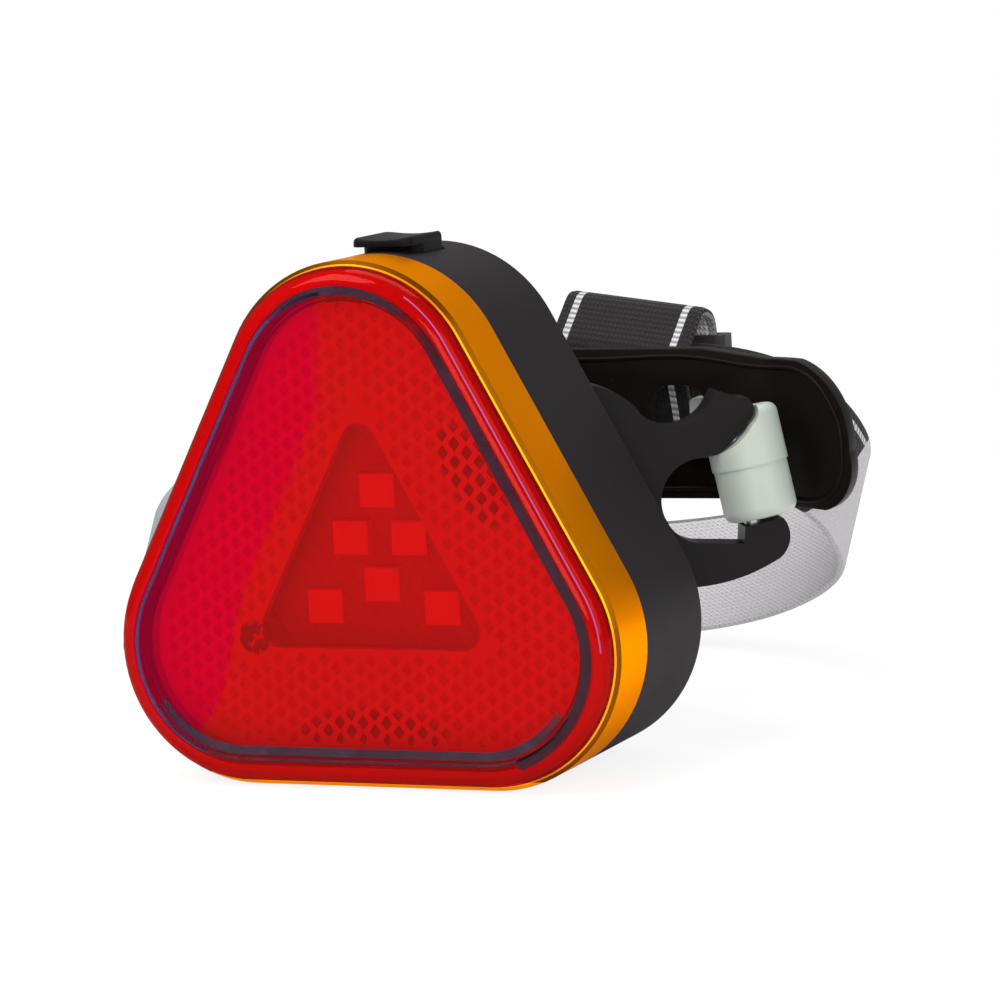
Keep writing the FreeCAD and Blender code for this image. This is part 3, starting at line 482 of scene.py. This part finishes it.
def webbing(name, lows, highs, wall, outward):
    lows = np.array(lows)
    highs = np.array(highs)
    middle = (lows + highs) / 2
    across = highs - lows
    side = np.cross(np.gradient(middle, axis=0), across)
    side /= np.linalg.norm(side, axis=1)[:, None]
    side *= outward
    width = np.linalg.norm(across, axis=1)
    travelled = np.concatenate([[0], np.cumsum(np.linalg.norm(np.diff(middle, axis=0), axis=1))])
    shares = np.linspace(webSection["inset"], 1 - webSection["inset"], webSection["columns"])
    loop = [(share, 0.5) for share in shares]
    loop += webSection["edge"]
    loop += [(share, -0.5) for share in shares[::-1]]
    loop += [(1 - share, -lift) for share, lift in webSection["edge"]]
    size = len(loop)
    points = [lows[index] + across[index] * share + side[index] * wall * lift
              for index in range(len(lows)) for share, lift in loop]
    faces = []
    kinds = []
    for index in range(len(lows) - 1):
        here, ahead = index * size, (index + 1) * size
        for step in range(size):
            following = (step + 1) % size
            faces.append((here + step, here + following, ahead + following, ahead + step))
            kinds.append(0 if loop[step][1] + loop[following][1] > 0 else 1)
    faces.append(tuple(range(size)))
    faces.append(tuple(range((len(lows) - 1) * size, len(lows) * size)))
    kinds += [1, 1]
    made = pieceFrom(name, points, faces, finishes["woven_elastic"])
    made.data.materials.append(weaveInside)
    layer = made.data.uv_layers.new(name="strapMap")
    for polygon, kind in zip(made.data.polygons, kinds):
        polygon.material_index = kind
        for corner in polygon.loop_indices:
            row, column = divmod(made.data.loops[corner].vertex_index, size)
            layer.data[corner].uv = (travelled[row], loop[column][0] * width[row])
    facesOutward(made)
    smoothShade(made, 50)
    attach(made, "light")
    return made


def beadAlong(name, points, radius, material):
    line = bpy.data.curves.new(name, "CURVE")
    line.dimensions = "3D"
    spline = line.splines.new("NURBS")
    spline.points.add(len(points) - 1)
    for place, point in zip(spline.points, points):
        place.co = (*point, 1.0)
    spline.order_u = 3
    spline.use_endpoint_u = True
    spline.resolution_u = 4
    line.bevel_depth = radius
    line.bevel_resolution = 3
    line.use_fill_caps = True
    made = bpy.data.objects.new(name, line)
    bpy.context.scene.collection.objects.link(made)
    graph = bpy.context.evaluated_depsgraph_get()
    mesh = bpy.data.meshes.new_from_object(made.evaluated_get(graph))
    bpy.data.objects.remove(made)
    mesh.materials.clear()
    mesh.materials.append(material)
    piece = bpy.data.objects.new(name, mesh)
    bpy.context.scene.collection.objects.link(piece)
    smoothShade(piece, 60)
    return piece


# Prism cells behind the lens: rows of small pyramids, every other row half a step aside

lensShape = {"lowX": 16.74, "rise": 31.15, "corner": 17.2, "base": 0.7, "loopStep": 0.8}
prismCells = {"across": 3.3, "up": 2.3, "rows": 60, "columns": 12, "size": 0.8, "height": 0.45,
              "stretch": 1.25, "margin": 4.8, "face": -12.5, "screw": (-16.1, 18.9), "screwClear": 3.0,
              "windowBase": 17.5, "windowTop": 49.0, "windowHalf": 17.0, "windowMargin": 0.8}


def lensDepth(x, z):
    # how far inside the lens outline a place is, in mm
    lowX = lensShape["lowX"]
    lowZ = lensShape["base"] + lensShape["corner"]
    highZ = lowZ + lensShape["rise"]
    corners = [(-lowX, lowZ), (lowX, lowZ), (0.0, highZ)]
    inside = math.inf
    nearest = math.inf
    for (fromX, fromZ), (toX, toZ) in zip(corners, corners[1:] + corners[:1]):
        length = math.hypot(toX - fromX, toZ - fromZ)
        wayX, wayZ = (toX - fromX) / length, (toZ - fromZ) / length
        awayX, awayZ = x - fromX, z - fromZ
        inside = min(inside, -wayZ * awayX + wayX * awayZ)
        along = min(max(awayX * wayX + awayZ * wayZ, 0), length)
        nearest = min(nearest, math.hypot(awayX - wayX * along, awayZ - wayZ * along))
    return lensShape["corner"] + (inside if inside > 0 else -nearest)


def lensLoop(offset, y):
    # points round the lens outline, moved out by the offset
    step = lensShape["loopStep"]
    lowX, lowZ = lensShape["lowX"], lensShape["base"] + lensShape["corner"]
    highZ = lowZ + lensShape["rise"]
    radius = lensShape["corner"] + offset
    lean = math.atan2(lowX, lensShape["rise"])
    points = []
    corners = ((lowX, lowZ, -math.pi / 2, lean), (0.0, highZ, lean, math.pi - lean),
               (-lowX, lowZ, math.pi - lean, math.pi * 1.5))
    for index, (x, z, first, last) in enumerate(corners):
        count = int(lensShape["corner"] * (last - first) / step)
        turns = [first + (last - first) * part / count for part in range(count + 1)]
        arc = [(x + radius * math.cos(turn), z + radius * math.sin(turn)) for turn in turns]
        nextX, nextZ, nextTurn, _ = corners[(index + 1) % 3]
        fromX, fromZ = arc[-1]
        wayX = nextX + radius * math.cos(nextTurn) - fromX
        wayZ = nextZ + radius * math.sin(nextTurn) - fromZ
        runs = int(math.hypot(wayX, wayZ) / step)
        straight = [(fromX + wayX * part / runs, fromZ + wayZ * part / runs) for part in range(1, runs)]
        points += arc + straight
    return [Vector((x, y, z)) for x, z in points]


def rimSweep(name, section, material, slotName, near=None, reach=0.0):
    # the section is (offset, depth) pairs, swept all round or only near one place
    base = lensLoop(0, 0)
    lines = [lensLoop(offset, y) for offset, y in section]
    chosen = list(range(len(base)))
    closed = near is None
    if not closed:
        spot = Vector((near[0], 0, near[1]))
        middle = min(chosen, key=lambda index: (base[index] - spot).length)
        span = int(reach / lensShape["loopStep"])
        chosen = [(middle + shift) % len(base) for shift in range(-span, span + 1)]
    size = len(section)
    points = [line[index] * mm for index in chosen for line in lines]
    faces = []
    for step in range(len(chosen) if closed else len(chosen) - 1):
        here, ahead = step * size, ((step + 1) % len(chosen)) * size
        for corner in range(size):
            following = (corner + 1) % size
            faces.append((here + corner, here + following, ahead + following, ahead + corner))
    if not closed:
        faces += [tuple(range(size)), tuple(range((len(chosen) - 1) * size, len(chosen) * size))]
    made = pieceFrom(name, points, faces, material)
    facesOutward(made)
    smoothShade(made, 50)
    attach(made, "light")


def roundSection(offset, y, radius, sides=8):
    turns = [2 * math.pi * side / sides for side in range(sides)]
    return [(offset + radius * math.cos(turn), y + radius * math.sin(turn)) for turn in turns]


def inWindow(x, z):
    # the window stays clear, with two margins above its point and a little more than one beside it
    plan = prismCells
    if z < plan["windowBase"] - plan["windowMargin"] or z > plan["windowTop"] + plan["windowMargin"] * 2:
        return False
    half = plan["windowHalf"] * (plan["windowTop"] - z) / (plan["windowTop"] - plan["windowBase"])
    return abs(x) < half + plan["windowMargin"] * 1.25


def scattered(name, points, buildShape, inputs, material, body="light"):
    made = pieceFrom(name, points, [])
    tree = bpy.data.node_groups.new(name + "Tree", "GeometryNodeTree")
    tree.interface.new_socket("Geometry", in_out="INPUT", socket_type="NodeSocketGeometry")
    tree.interface.new_socket("Geometry", in_out="OUTPUT", socket_type="NodeSocketGeometry")
    sockets = {}
    for label, value in inputs.items():
        sockets[label] = tree.interface.new_socket(label, in_out="INPUT", socket_type="NodeSocketFloat")
        sockets[label].default_value = value
    start = tree.nodes.new("NodeGroupInput")
    end = tree.nodes.new("NodeGroupOutput")
    shape, turn, stretch = buildShape(tree, start)
    spread = tree.nodes.new("GeometryNodeInstanceOnPoints")
    tree.links.new(start.outputs[0], spread.inputs["Points"])
    tree.links.new(shape, spread.inputs["Instance"])
    spread.inputs["Rotation"].default_value = turn
    spread.inputs["Scale"].default_value = stretch
    real = tree.nodes.new("GeometryNodeRealizeInstances")
    dress = tree.nodes.new("GeometryNodeSetMaterial")
    dress.inputs["Material"].default_value = material
    tree.links.new(spread.outputs[0], real.inputs[0])
    tree.links.new(real.outputs[0], dress.inputs[0])
    tree.links.new(dress.outputs[0], end.inputs[0])
    modifier = made.modifiers.new("repeat", "NODES")
    modifier.node_group = tree
    for label, value in inputs.items():
        modifier[sockets[label].identifier] = value
    plainMesh(made)
    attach(made, body)


def pyramidShape(tree, start):
    cone = tree.nodes.new("GeometryNodeMeshCone")
    cone.inputs["Vertices"].default_value = 4
    tree.links.new(start.outputs["size"], cone.inputs["Radius Bottom"])
    tree.links.new(start.outputs["height"], cone.inputs["Depth"])
    return cone.outputs["Mesh"], (math.radians(90), 0, 0), (1.0, prismCells["stretch"], 1.0)


def buildPrismCells():
    plan = prismCells
    places = []
    for row in range(plan["rows"]):
        z = row * plan["up"] / 2
        for column in range(-plan["columns"], plan["columns"] + 1):
            x = (column + 0.5 * (row % 2)) * plan["across"]
            beside = math.hypot(x - plan["screw"][0], z - plan["screw"][1])
            if lensDepth(x, z) > plan["margin"] and not inWindow(x, z) and beside > plan["screwClear"]:
                places.append((x * mm, plan["face"] * mm, z * mm))
    sizes = {"size": plan["size"] * mm, "height": plan["height"] * mm}
    scattered("prismGrid", places, pyramidShape, sizes, facets)
    print("prism cells:", len(places))


buildPrismCells()


# Lens rim: lines and veils that follow the lens outline, given by offset from it and depth

rimInside = {"glow": ((-0.4, -15.9), (-1.2, -16.5), (-2.3, -16.5), (-2.5, -14.3), (-0.4, -14.3)),
             "shadeReach": 24, "groove": (-3.05, -15.65, 0.42), "secondLine": (-4.0, -15.3, 0.13),
             "shelf": ((-3.0, -12.8), (-5.4, -12.62), (-5.4, -12.4), (-3.0, -12.5)),
             "tabs": ((1.2, 66.2), (0.7, 0.7), (-20.0, 46.0), (20.0, 41.5)), "tabReach": 3.3,
             "tab": ((-2.1, -15.35), (-4.3, -15.35), (-4.3, -15.2), (-2.1, -15.2)),
             "pinkHighlight": (-0.86, -16.44, 0.12), "pinkHighlightNear": ((17.5, 38.0), 26.0)}
# painted shade: the veils listed below are dark sheets on the lens face where only shade is seen through
# the rim
rimVeils = {"front": -17.03, "back": -17.01, "surfaceLine": (-2.75, -3.2),
            "surfaceNear": ((-20.0, 32.0), 40.0), "fade": 7.0, "fadeFrom": 0.92,
            "smoke": (  # outer and inner offset, middle, reach and colour
                (-3.75, -4.9, (0.0, 0.7), 34.0, (47, 26, 40)),
                (-3.0, -3.35, (0.0, 0.7), 34.0, (60, 18, 36)),
                (-1.9, -3.3, (22.0, 28.0), 36.0, (42, 5, 22)),
                (-2.2, -3.3, (1.0, 66.2), 13.0, (44, 20, 34)))}


def rimGlow():
    paint = Paint("rimGlow")
    x, _, _ = paint.axes(paint.place())
    # painted shade: the rim's red gets darker towards the right flank
    shadeToRight = (x / (rimInside["shadeReach"] * mm)).most(0.0).least(1.0)
    red = paint.mixed(shadeToRight, tone(198, 8, 30), tone(184, 7, 18))
    return paint.done(paint.gloss(red, 0.5, Specular_IOR_Level=0.1))


# painted shade: a dark plum veil on the lens face, clouded and fading out at its ends, for the shade of the
# groove seen through the rim
def paintedShadeVeil(name, spot, reach, shade):
    paint = Paint(name)
    veil = paint.gloss(tone(*shade), 0.4, Specular_IOR_Level=0.2)
    x, _, z = paint.axes(paint.place())
    away = ((x - spot[0] * mm) ** 2.0 + (z - spot[1] * mm) ** 2.0) ** 0.5
    ending = ((reach * rimVeils["fadeFrom"] * mm - away) / (rimVeils["fade"] * mm)).most(0.0).least(1.0)
    share = (paint.noise(4 * mm, 3) * 1.1 + 0.25).least(0.95) * ending
    return paint.done(paint.blend(share, paint.clear(), veil))


# painted shade: a thin clouded plum line on the lens face for the shade of the groove behind it
def surfaceVeil():
    paint = Paint("surfaceLine")
    veil = paint.gloss(tone(62, 44, 78), 0.4, Specular_IOR_Level=0.2)
    return paint.done(paint.blend(paint.noise(7 * mm, 2) * 0.9 + 0.1, paint.clear(), veil))


def veilSection(outer, inner):
    front, back = rimVeils["front"], rimVeils["back"]
    return (outer, front), (inner, front), (inner, back), (outer, back)


def buildRim():
    plan = rimInside
    plum = plainRed("grooveShade", tone(46, 22, 40))
    rimSweep("rimGlow", plan["glow"], rimGlow(), "red_lens")
    for count, (outer, inner, spot, reach, shade) in enumerate(rimVeils["smoke"]):
        smoke = paintedShadeVeil("smoke%d" % count, spot, reach, shade)
        rimSweep("rimPaintedShade%d" % count, veilSection(outer, inner), smoke, "red_lens", spot, reach)
    # painted highlight: a thin pink bead along the right flank of the rim
    pinkHighlight = plainRed("rimPinkHighlight", tone(150, 64, 112), 0.2)
    rimSweep("rimPinkHighlight", roundSection(*plan["pinkHighlight"]), pinkHighlight, "red_lens", *plan["pinkHighlightNear"])
    rimSweep("rimGroove", roundSection(*plan["groove"]), plum, "seal_rubber")
    line = veilSection(*rimVeils["surfaceLine"])
    rimSweep("rimSurfaceLine", line, surfaceVeil(), "red_lens", *rimVeils["surfaceNear"])
    rimSweep("rimShelf", plan["shelf"], plainRed("rimShelf", tone(240, 60, 48)), "red_lens")
    rimSweep("rimSecondLine", roundSection(*plan["secondLine"]), plum, "seal_rubber")
    for count, spot in enumerate(plan["tabs"]):
        shade = plainRed("tabShade%d" % count, tone(96, 12, 26))
        rimSweep("rimTab%d" % count, plan["tab"], shade, "seal_rubber", spot, plan["tabReach"])


buildRim()


# Flat faces over what the plate and the board show too sharply: screws, pegs and the lamps' wells

marks = {"screwMark": 2.3, "screwMarkLift": 0.15, "pegCap": 1.35, "pegLift": 0.03,
         "pegs": ((-24.5, 13.4), (24.5, 13.4), (-8.5, 53.55), (8.5, 53.55)),
         "screwCap": 2.1, "screwLift": 0.05, "screwInset": 1.8, "screwSide": 16.8}
lampFace = {"wide": 4.8, "high": 4.3, "lift": 0.05, "behind": 1.2, "near": 0.05}


def roundMark(name, spot, radius, face, material, sides=32):
    ring = roundSection(spot[0], spot[1], radius, sides)
    circle = [Vector((x, face, z)) * mm for x, z in ring]
    mark = pieceFrom(name, circle, [tuple(range(sides))], material)
    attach(mark, "light")


def buildMarks():
    plan = marks
    plate = prismCells["face"]
    face = plate - plan["screwMarkLift"]
    roundMark("screwMark", prismCells["screw"], plan["screwMark"], face, screwSwirl())
    red = finishes["prism_plastic"]
    for count, spot in enumerate(plan["pegs"]):
        roundMark("pegCap%d" % count, spot, plan["pegCap"], plate - plan["pegLift"], red)
    screws = [vertex.co / mm for vertex in nodes["board_screws"].data.vertices]
    face = min(point.y for point in screws) - plan["screwLift"]
    high = max(point.z for point in screws) - plan["screwInset"]
    low = min(point.z for point in screws) + plan["screwInset"]
    spots = ((0.0, high), (-plan["screwSide"], low), (plan["screwSide"], low))
    board = finishes["board_laminate"]
    for count, spot in enumerate(spots):
        roundMark("screwCap%d" % count, spot, plan["screwCap"], face, board)


def ledFaces():
    # plain square windows over the wells of the lamps
    wide, high, near = (lampFace[key] for key in ("wide", "high", "near"))
    mesh = nodes["leds"].data
    front = min(vertex.co.y for vertex in mesh.vertices) - lampFace["lift"] * mm
    behind = front + lampFace["behind"] * mm
    corners = {(round(vertex.co.x / mm, 2), round(vertex.co.z / mm, 2))
               for vertex in mesh.vertices if vertex.co.y > behind}
    lows = [(x, z) for x, z in corners
            if any(abs(otherX - x - wide) < near and abs(otherZ - z) < near for otherX, otherZ in corners)
            and any(abs(otherX - x) < near and abs(otherZ - z - high) < near for otherX, otherZ in corners)]
    points = []
    faces = []
    for x, z in sorted(lows):
        start = len(points)
        square = ((x, z), (x + wide, z), (x + wide, z + high), (x, z + high))
        points += [Vector((cornerX * mm, front, cornerZ * mm)) for cornerX, cornerZ in square]
        faces.append((start, start + 1, start + 2, start + 3))
    made = pieceFrom("ledFaces", points, faces, finishes["led_resin"])
    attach(made, "light")
    print("lamp faces:", len(faces))


buildMarks()
ledFaces()
print("lens rim built")


# Strap: loop behind the band, and the tail that curls over the top

strapLoop = {"width": 20.0, "wall": 1.2, "station": 1.2, "front": 43.15, "behind": 49.6, "lap": 1.35}
front, behind = strapLoop["front"], strapLoop["behind"]
lapped = front + strapLoop["lap"]
strapRoute = (  # middle of the strap, and how far its top leans out
    (-18.1, front, 39.6, 0.0, 0.0),
    (-12.6, front, 39.6, 0.0, 0.0),
    (-8.1, 44.6, 39.6, 0.0, 0.0),
    (-3.6, 47.3, 39.6, 0.0, 0.0),
    (0.9, behind - 0.2, 39.6, 0.0, 0.0),
    (6.4, behind, 39.6, 0.0, 0.0),
    (12.9, behind + 0.2, 39.5, 0.0, 0.04),
    (21.4, 51.4, 39.0, 0.0, 0.16),
    (29.6, 56.4, 36.8, 0.0, 0.4),
    (34.2, 63.6, 32.4, 0.0, 0.58),
    (35.6, 71.4, 26.3, 0.02, 0.64),
    (32.8, 79.9, 20.7, 0.02, 0.64),
    (23.0, 87.2, 14.8, 0.02, 0.64),
    (8.2, 92.4, 10.6, 0.02, 0.64),
    (-9.7, 94.4, 8.6, 0.02, 0.64),
    (-28.6, 92.4, 8.4, 0.0, 0.64),
    (-45.1, 85.2, 8.6, 0.0, 0.62),
    (-58.8, 74.0, 9.2, 0.04, 0.6),
    (-66.4, 61.5, 10.8, 0.09, 0.54),
    (-66.7, 50.5, 14.4, 0.13, 0.42),
    (-59.0, 43.6, 20.6, 0.11, 0.28),
    (-45.6, 41.4, 28.2, 0.05, 0.14),
    (-33.1, 42.8, 34.4, 0.0, 0.0),
    (-24.6, lapped, 38.2, 0.0, 0.0),
    (-18.6, lapped, 39.4, 0.0, 0.0),
    (-13.2, lapped, 39.6, 0.0, 0.0),
)


def buildStrapLoop():
    middles = np.array([entry[:3] for entry in strapRoute])
    leans = np.array([(leanX, leanY, math.sqrt(1 - leanX * leanX - leanY * leanY))
                      for _, _, _, leanX, leanY in strapRoute])
    knots = np.concatenate([[0], np.cumsum(np.linalg.norm(np.diff(middles, axis=0), axis=1))])
    wanted = np.linspace(0, knots[-1], round(knots[-1] / strapLoop["station"]))
    highs = smoothLine(knots, middles + leans * strapLoop["width"] / 2, wanted)
    lows = smoothLine(knots, middles - leans * strapLoop["width"] / 2, wanted)
    loop = webbing("strapLoop", lows * mm, highs * mm, strapLoop["wall"] * mm, 1)
    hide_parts("elastic_strap")


strapTail = {"left": 1.8, "width": 20.0, "fall": 0.14, "wall": 1.2, "front": 48.2, "back": 58.6}
tailCorners = ((strapTail["front"], 33.0), (strapTail["front"], 41.5), (45.6, 49.6), (54.0, 56.2),
               (strapTail["back"], 54.6), (strapTail["back"], 36.0))
tailBends = (8.0, 3.0, 3.5, 3.0)


def roundedPath(corners, bends, step=0.6):
    corners = [Vector(corner) for corner in corners]
    points = []
    start = corners[0]

    def run(begin, finish):
        count = max(1, int((finish - begin).length / step))
        return [begin.lerp(finish, index / count) for index in range(count)]

    for before, corner, after, bend in zip(corners, corners[1:], corners[2:], bends):
        first = (corner - before).normalized()
        second = (after - corner).normalized()
        angle = first.angle(second)
        cut = bend * math.tan(angle / 2)
        inward = (second - first).normalized()
        centre = corner + inward * (bend / math.cos(angle / 2))
        arcStart = corner - first * cut
        arcEnd = corner + second * cut
        points += run(start, arcStart)
        count = max(3, int(bend * angle / step))
        for index in range(count):
            way = (arcStart - centre).lerp(arcEnd - centre, index / count).normalized() * bend
            points.append(centre + way)
        start = arcEnd
    return points + run(start, corners[-1]) + [corners[-1]]


def buildStrapTail():
    left, right = strapTail["left"], strapTail["left"] + strapTail["width"]
    drop = strapTail["fall"] * strapTail["width"]
    path = roundedPath([(0, y, z) for y, z in tailCorners], tailBends)
    lows = [Vector((left, point.y, point.z)) for point in path]
    highs = [Vector((right, point.y, point.z - drop)) for point in path]
    tail = webbing("strapTail", np.array(lows) * mm, np.array(highs) * mm, strapTail["wall"] * mm, -1)
    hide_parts("strap_tail")


buildStrapLoop()
buildStrapTail()
print("strap built")


# Rubber band with its raised rim, pad and button as softly rounded mouldings

bandRim = {"level": 41.0, "half": 1.25, "bend": 37.4, "slope": 30.0, "run": 20.0, "radius": 8.0,
           "bead": 0.32, "points": 120, "inset": 1.3, "middle": (20.0, 39.0), "halfHeight": 10.5,
           "endFrom": 38, "endLength": 8,
           "outline": ((2.0, 49.7), (14.0, 49.65), (26.4, 49.6), (35.7, 48.1), (40.7, 48.0), (44.6, 46.6),
                       (47.4, 43.5), (48.9, 40.2), (49.3, 36.5), (48.9, 32.4), (47.4, 29.8), (44.7, 28.3),
                       (37.4, 28.4), (31.1, 29.2), (14.0, 29.2), (2.0, 29.2))}


def buildBandRim():
    plan = bandRim
    slope = math.radians(plan["slope"])
    tip = (plan["bend"] + plan["run"] * math.cos(slope), plan["level"] - plan["run"] * math.sin(slope))
    corners = [(-plan["run"], plan["level"], 0), (plan["bend"], plan["level"], 0), (*tip, 0)]
    path = roundedPath(corners, [plan["radius"]])
    fronts = []
    for before, after in zip(path, path[1:]):
        way = (after - before).normalized()
        fronts.append(before + Vector((way.y, -way.x, 0)) * plan["half"])
    outline = np.array(plan["outline"])
    middle = np.array(plan["middle"])
    inset = middle + (outline - middle) * (1 - plan["inset"] / plan["halfHeight"])
    end = np.clip((outline[:, 0] - plan["endFrom"]) / plan["endLength"], 0, 1)
    inset[:, 0] = outline[:, 0] - end * plan["inset"]
    steps = np.concatenate([[0], np.cumsum(np.linalg.norm(np.diff(inset, axis=0), axis=1))])
    line = smoothLine(steps, inset, np.linspace(0, steps[-1], plan["points"]))
    depth = np.interp(line[:, 0], [point.x for point in fronts], [point.y for point in fronts])
    points = [Vector((x, y, z)) * mm for (x, z), y in zip(line, depth)]
    bead = beadAlong("bandRim", points, plan["bead"] * mm, finishes["band_rubber"])
    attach(bead, "light")


buildBandRim()
roundedCopy("rubber_band", "rubberBand", 0.55 * mm, 3, "band_rubber")
roundedCopy("tube_pad", "tubePad", 0.4 * mm, 2, "pad_rubber")
roundedCopy("button_cap", "buttonCap", 0.45 * mm, 3, "button_rubber", "button")
print("rubber pieces built")


# Camera as in the photograph

view = {"aim": (20.81, -16.5, 37.24), "distance": 513.4, "around": 23.907, "above": 7.71, "roll": -3.198,
        "lens": 150.39, "sensor": 36, "clip": 0.01}
around, above, roll = (math.radians(view[key]) for key in ("around", "above", "roll"))
level = math.cos(above)
backward = Vector((math.sin(around) * level, -math.cos(around) * level, math.sin(above)))
rightward = (-backward).cross(Vector((0, 0, 1))).normalized()
upward = rightward.cross(-backward)
right = rightward * math.cos(roll) + upward * math.sin(roll)
up = upward * math.cos(roll) - rightward * math.sin(roll)
place = (Vector(view["aim"]) + backward * view["distance"]) * mm
camera = bpy.data.objects.new("camera", bpy.data.cameras.new("camera"))
camera.data.lens = view["lens"]
camera.data.sensor_width = view["sensor"]
camera.data.clip_start = view["clip"]
camera.matrix_world = Matrix((
    (right.x, up.x, backward.x, place.x),
    (right.y, up.y, backward.y, place.y),
    (right.z, up.z, backward.z, place.z),
    (0, 0, 0, 1)))
bpy.context.scene.collection.objects.link(camera)
bpy.context.scene.camera = camera


# Light and floor

def softLamp(name, where, aim, size, power):
    data = bpy.data.lights.new(name, "AREA")
    data.shape = "RECTANGLE"
    data.size, data.size_y = size
    data.energy = power
    lamp = bpy.data.objects.new(name, data)
    lamp.location = where
    lamp.rotation_euler = (Vector(aim) - Vector(where)).to_track_quat("-Z", "Y").to_euler()
    bpy.context.scene.collection.objects.link(lamp)


softLamp("keyLamp", (-0.35, -0.45, 0.75), (0, 0, 0.03), (0.5, 0.5), 7.5)
softLamp("sideLamp", (0.75, -0.35, 0.35), (0, 0, 0.03), (0.5, 0.6), 3.2)
softLamp("frontLamp", (0.3, -0.95, 0.3), (0, 0, 0.03), (0.4, 0.4), 4.5)
softLamp("topLamp", (0.0, 0.25, 0.8), (0, 0.03, 0.03), (0.6, 0.4), 4.0)


def studioWorld():
    # white to the camera and through the lens, dimmer as a light
    world = bpy.data.worlds.new("studio")
    bpy.context.scene.world = world
    world.use_nodes = True
    tree = world.node_tree
    tree.nodes.clear()
    rays = tree.nodes.new("ShaderNodeLightPath")
    seen = tree.nodes.new("ShaderNodeMath")
    seen.operation = "MAXIMUM"
    mix = tree.nodes.new("ShaderNodeMixShader")
    tree.links.new(rays.outputs["Is Camera Ray"], seen.inputs[0])
    tree.links.new(rays.outputs["Is Transmission Ray"], seen.inputs[1])
    tree.links.new(seen.outputs[0], mix.inputs[0])
    for socket, colour, strength in ((1, (0.97, 0.98, 1.0, 1), 0.6), (2, (1, 1, 1, 1), 1.0)):
        ground = tree.nodes.new("ShaderNodeBackground")
        ground.inputs["Color"].default_value = colour
        ground.inputs["Strength"].default_value = strength
        tree.links.new(ground.outputs[0], mix.inputs[socket])
    tree.links.new(mix.outputs[0], tree.nodes.new("ShaderNodeOutputWorld").inputs[0])


studioWorld()


def floorPaint():
    glowing = {"near": 0.86, "further": 0.14, "from": 0.12, "rise": 5.0}
    paint = Paint("paleFloor")
    rays = paint.node("ShaderNodeLightPath")
    matt = paint.gloss((0.9, 0.9, 0.9, 1), 0.9, Specular_IOR_Level=0.0)
    x, y, _ = paint.axes(paint.place())
    far = (((x * x + y * y) ** 0.5 - glowing["from"]) * glowing["rise"]).most(0.0).least(1.0)
    share = Amount(paint, rays.outputs["Is Camera Ray"]) * (glowing["near"] + far * glowing["further"])
    return paint.done(paint.blend(share, matt, paint.glow((1, 1, 1, 1), 1.0)))


def reflectionCard():
    # violet patch on the floor that only reflections see, where the lens face mirrors it to the camera
    plan = {"lensFace": -17.0, "lift": 0.0004, "colour": (0.5, 0.06, 1.0, 1), "strength": 6.0,
            "patch": ((-2.3, 64), (-3.3, 48.6), (-7.6, 39.8), (-15.2, 25.3), (-19, 12), (-24, 5),
                      (-33, 10), (-33, 22), (-22, 40), (-14, 56), (-8, 64))}
    mirrored = Vector((place.x / mm, 2 * plan["lensFace"] - place.y / mm, place.z / mm))
    corners = []
    for x, z in plan["patch"]:
        way = Vector((x, plan["lensFace"], z)) - mirrored
        corners.append((mirrored + way * (mirrored.z / -way.z)) * mm + Vector((0, 0, plan["lift"])))
    paint = Paint("violetCard")
    card = pieceFrom("violetCard", corners, [tuple(range(len(corners)))],
                     paint.done(paint.glow(plan["colour"], plan["strength"])))
    card.visible_camera = False
    card.visible_diffuse = False
    card.visible_transmission = False
    card.visible_shadow = False
    return card


reflectionCard()
floor = pieceFrom("floor", [(-4, -4, 0), (4, -4, 0), (4, 4, 0), (-4, 4, 0)], [(0, 1, 2, 3)], floorPaint())
bpy.context.scene.view_settings.view_transform = "Standard"
print("light and camera set")
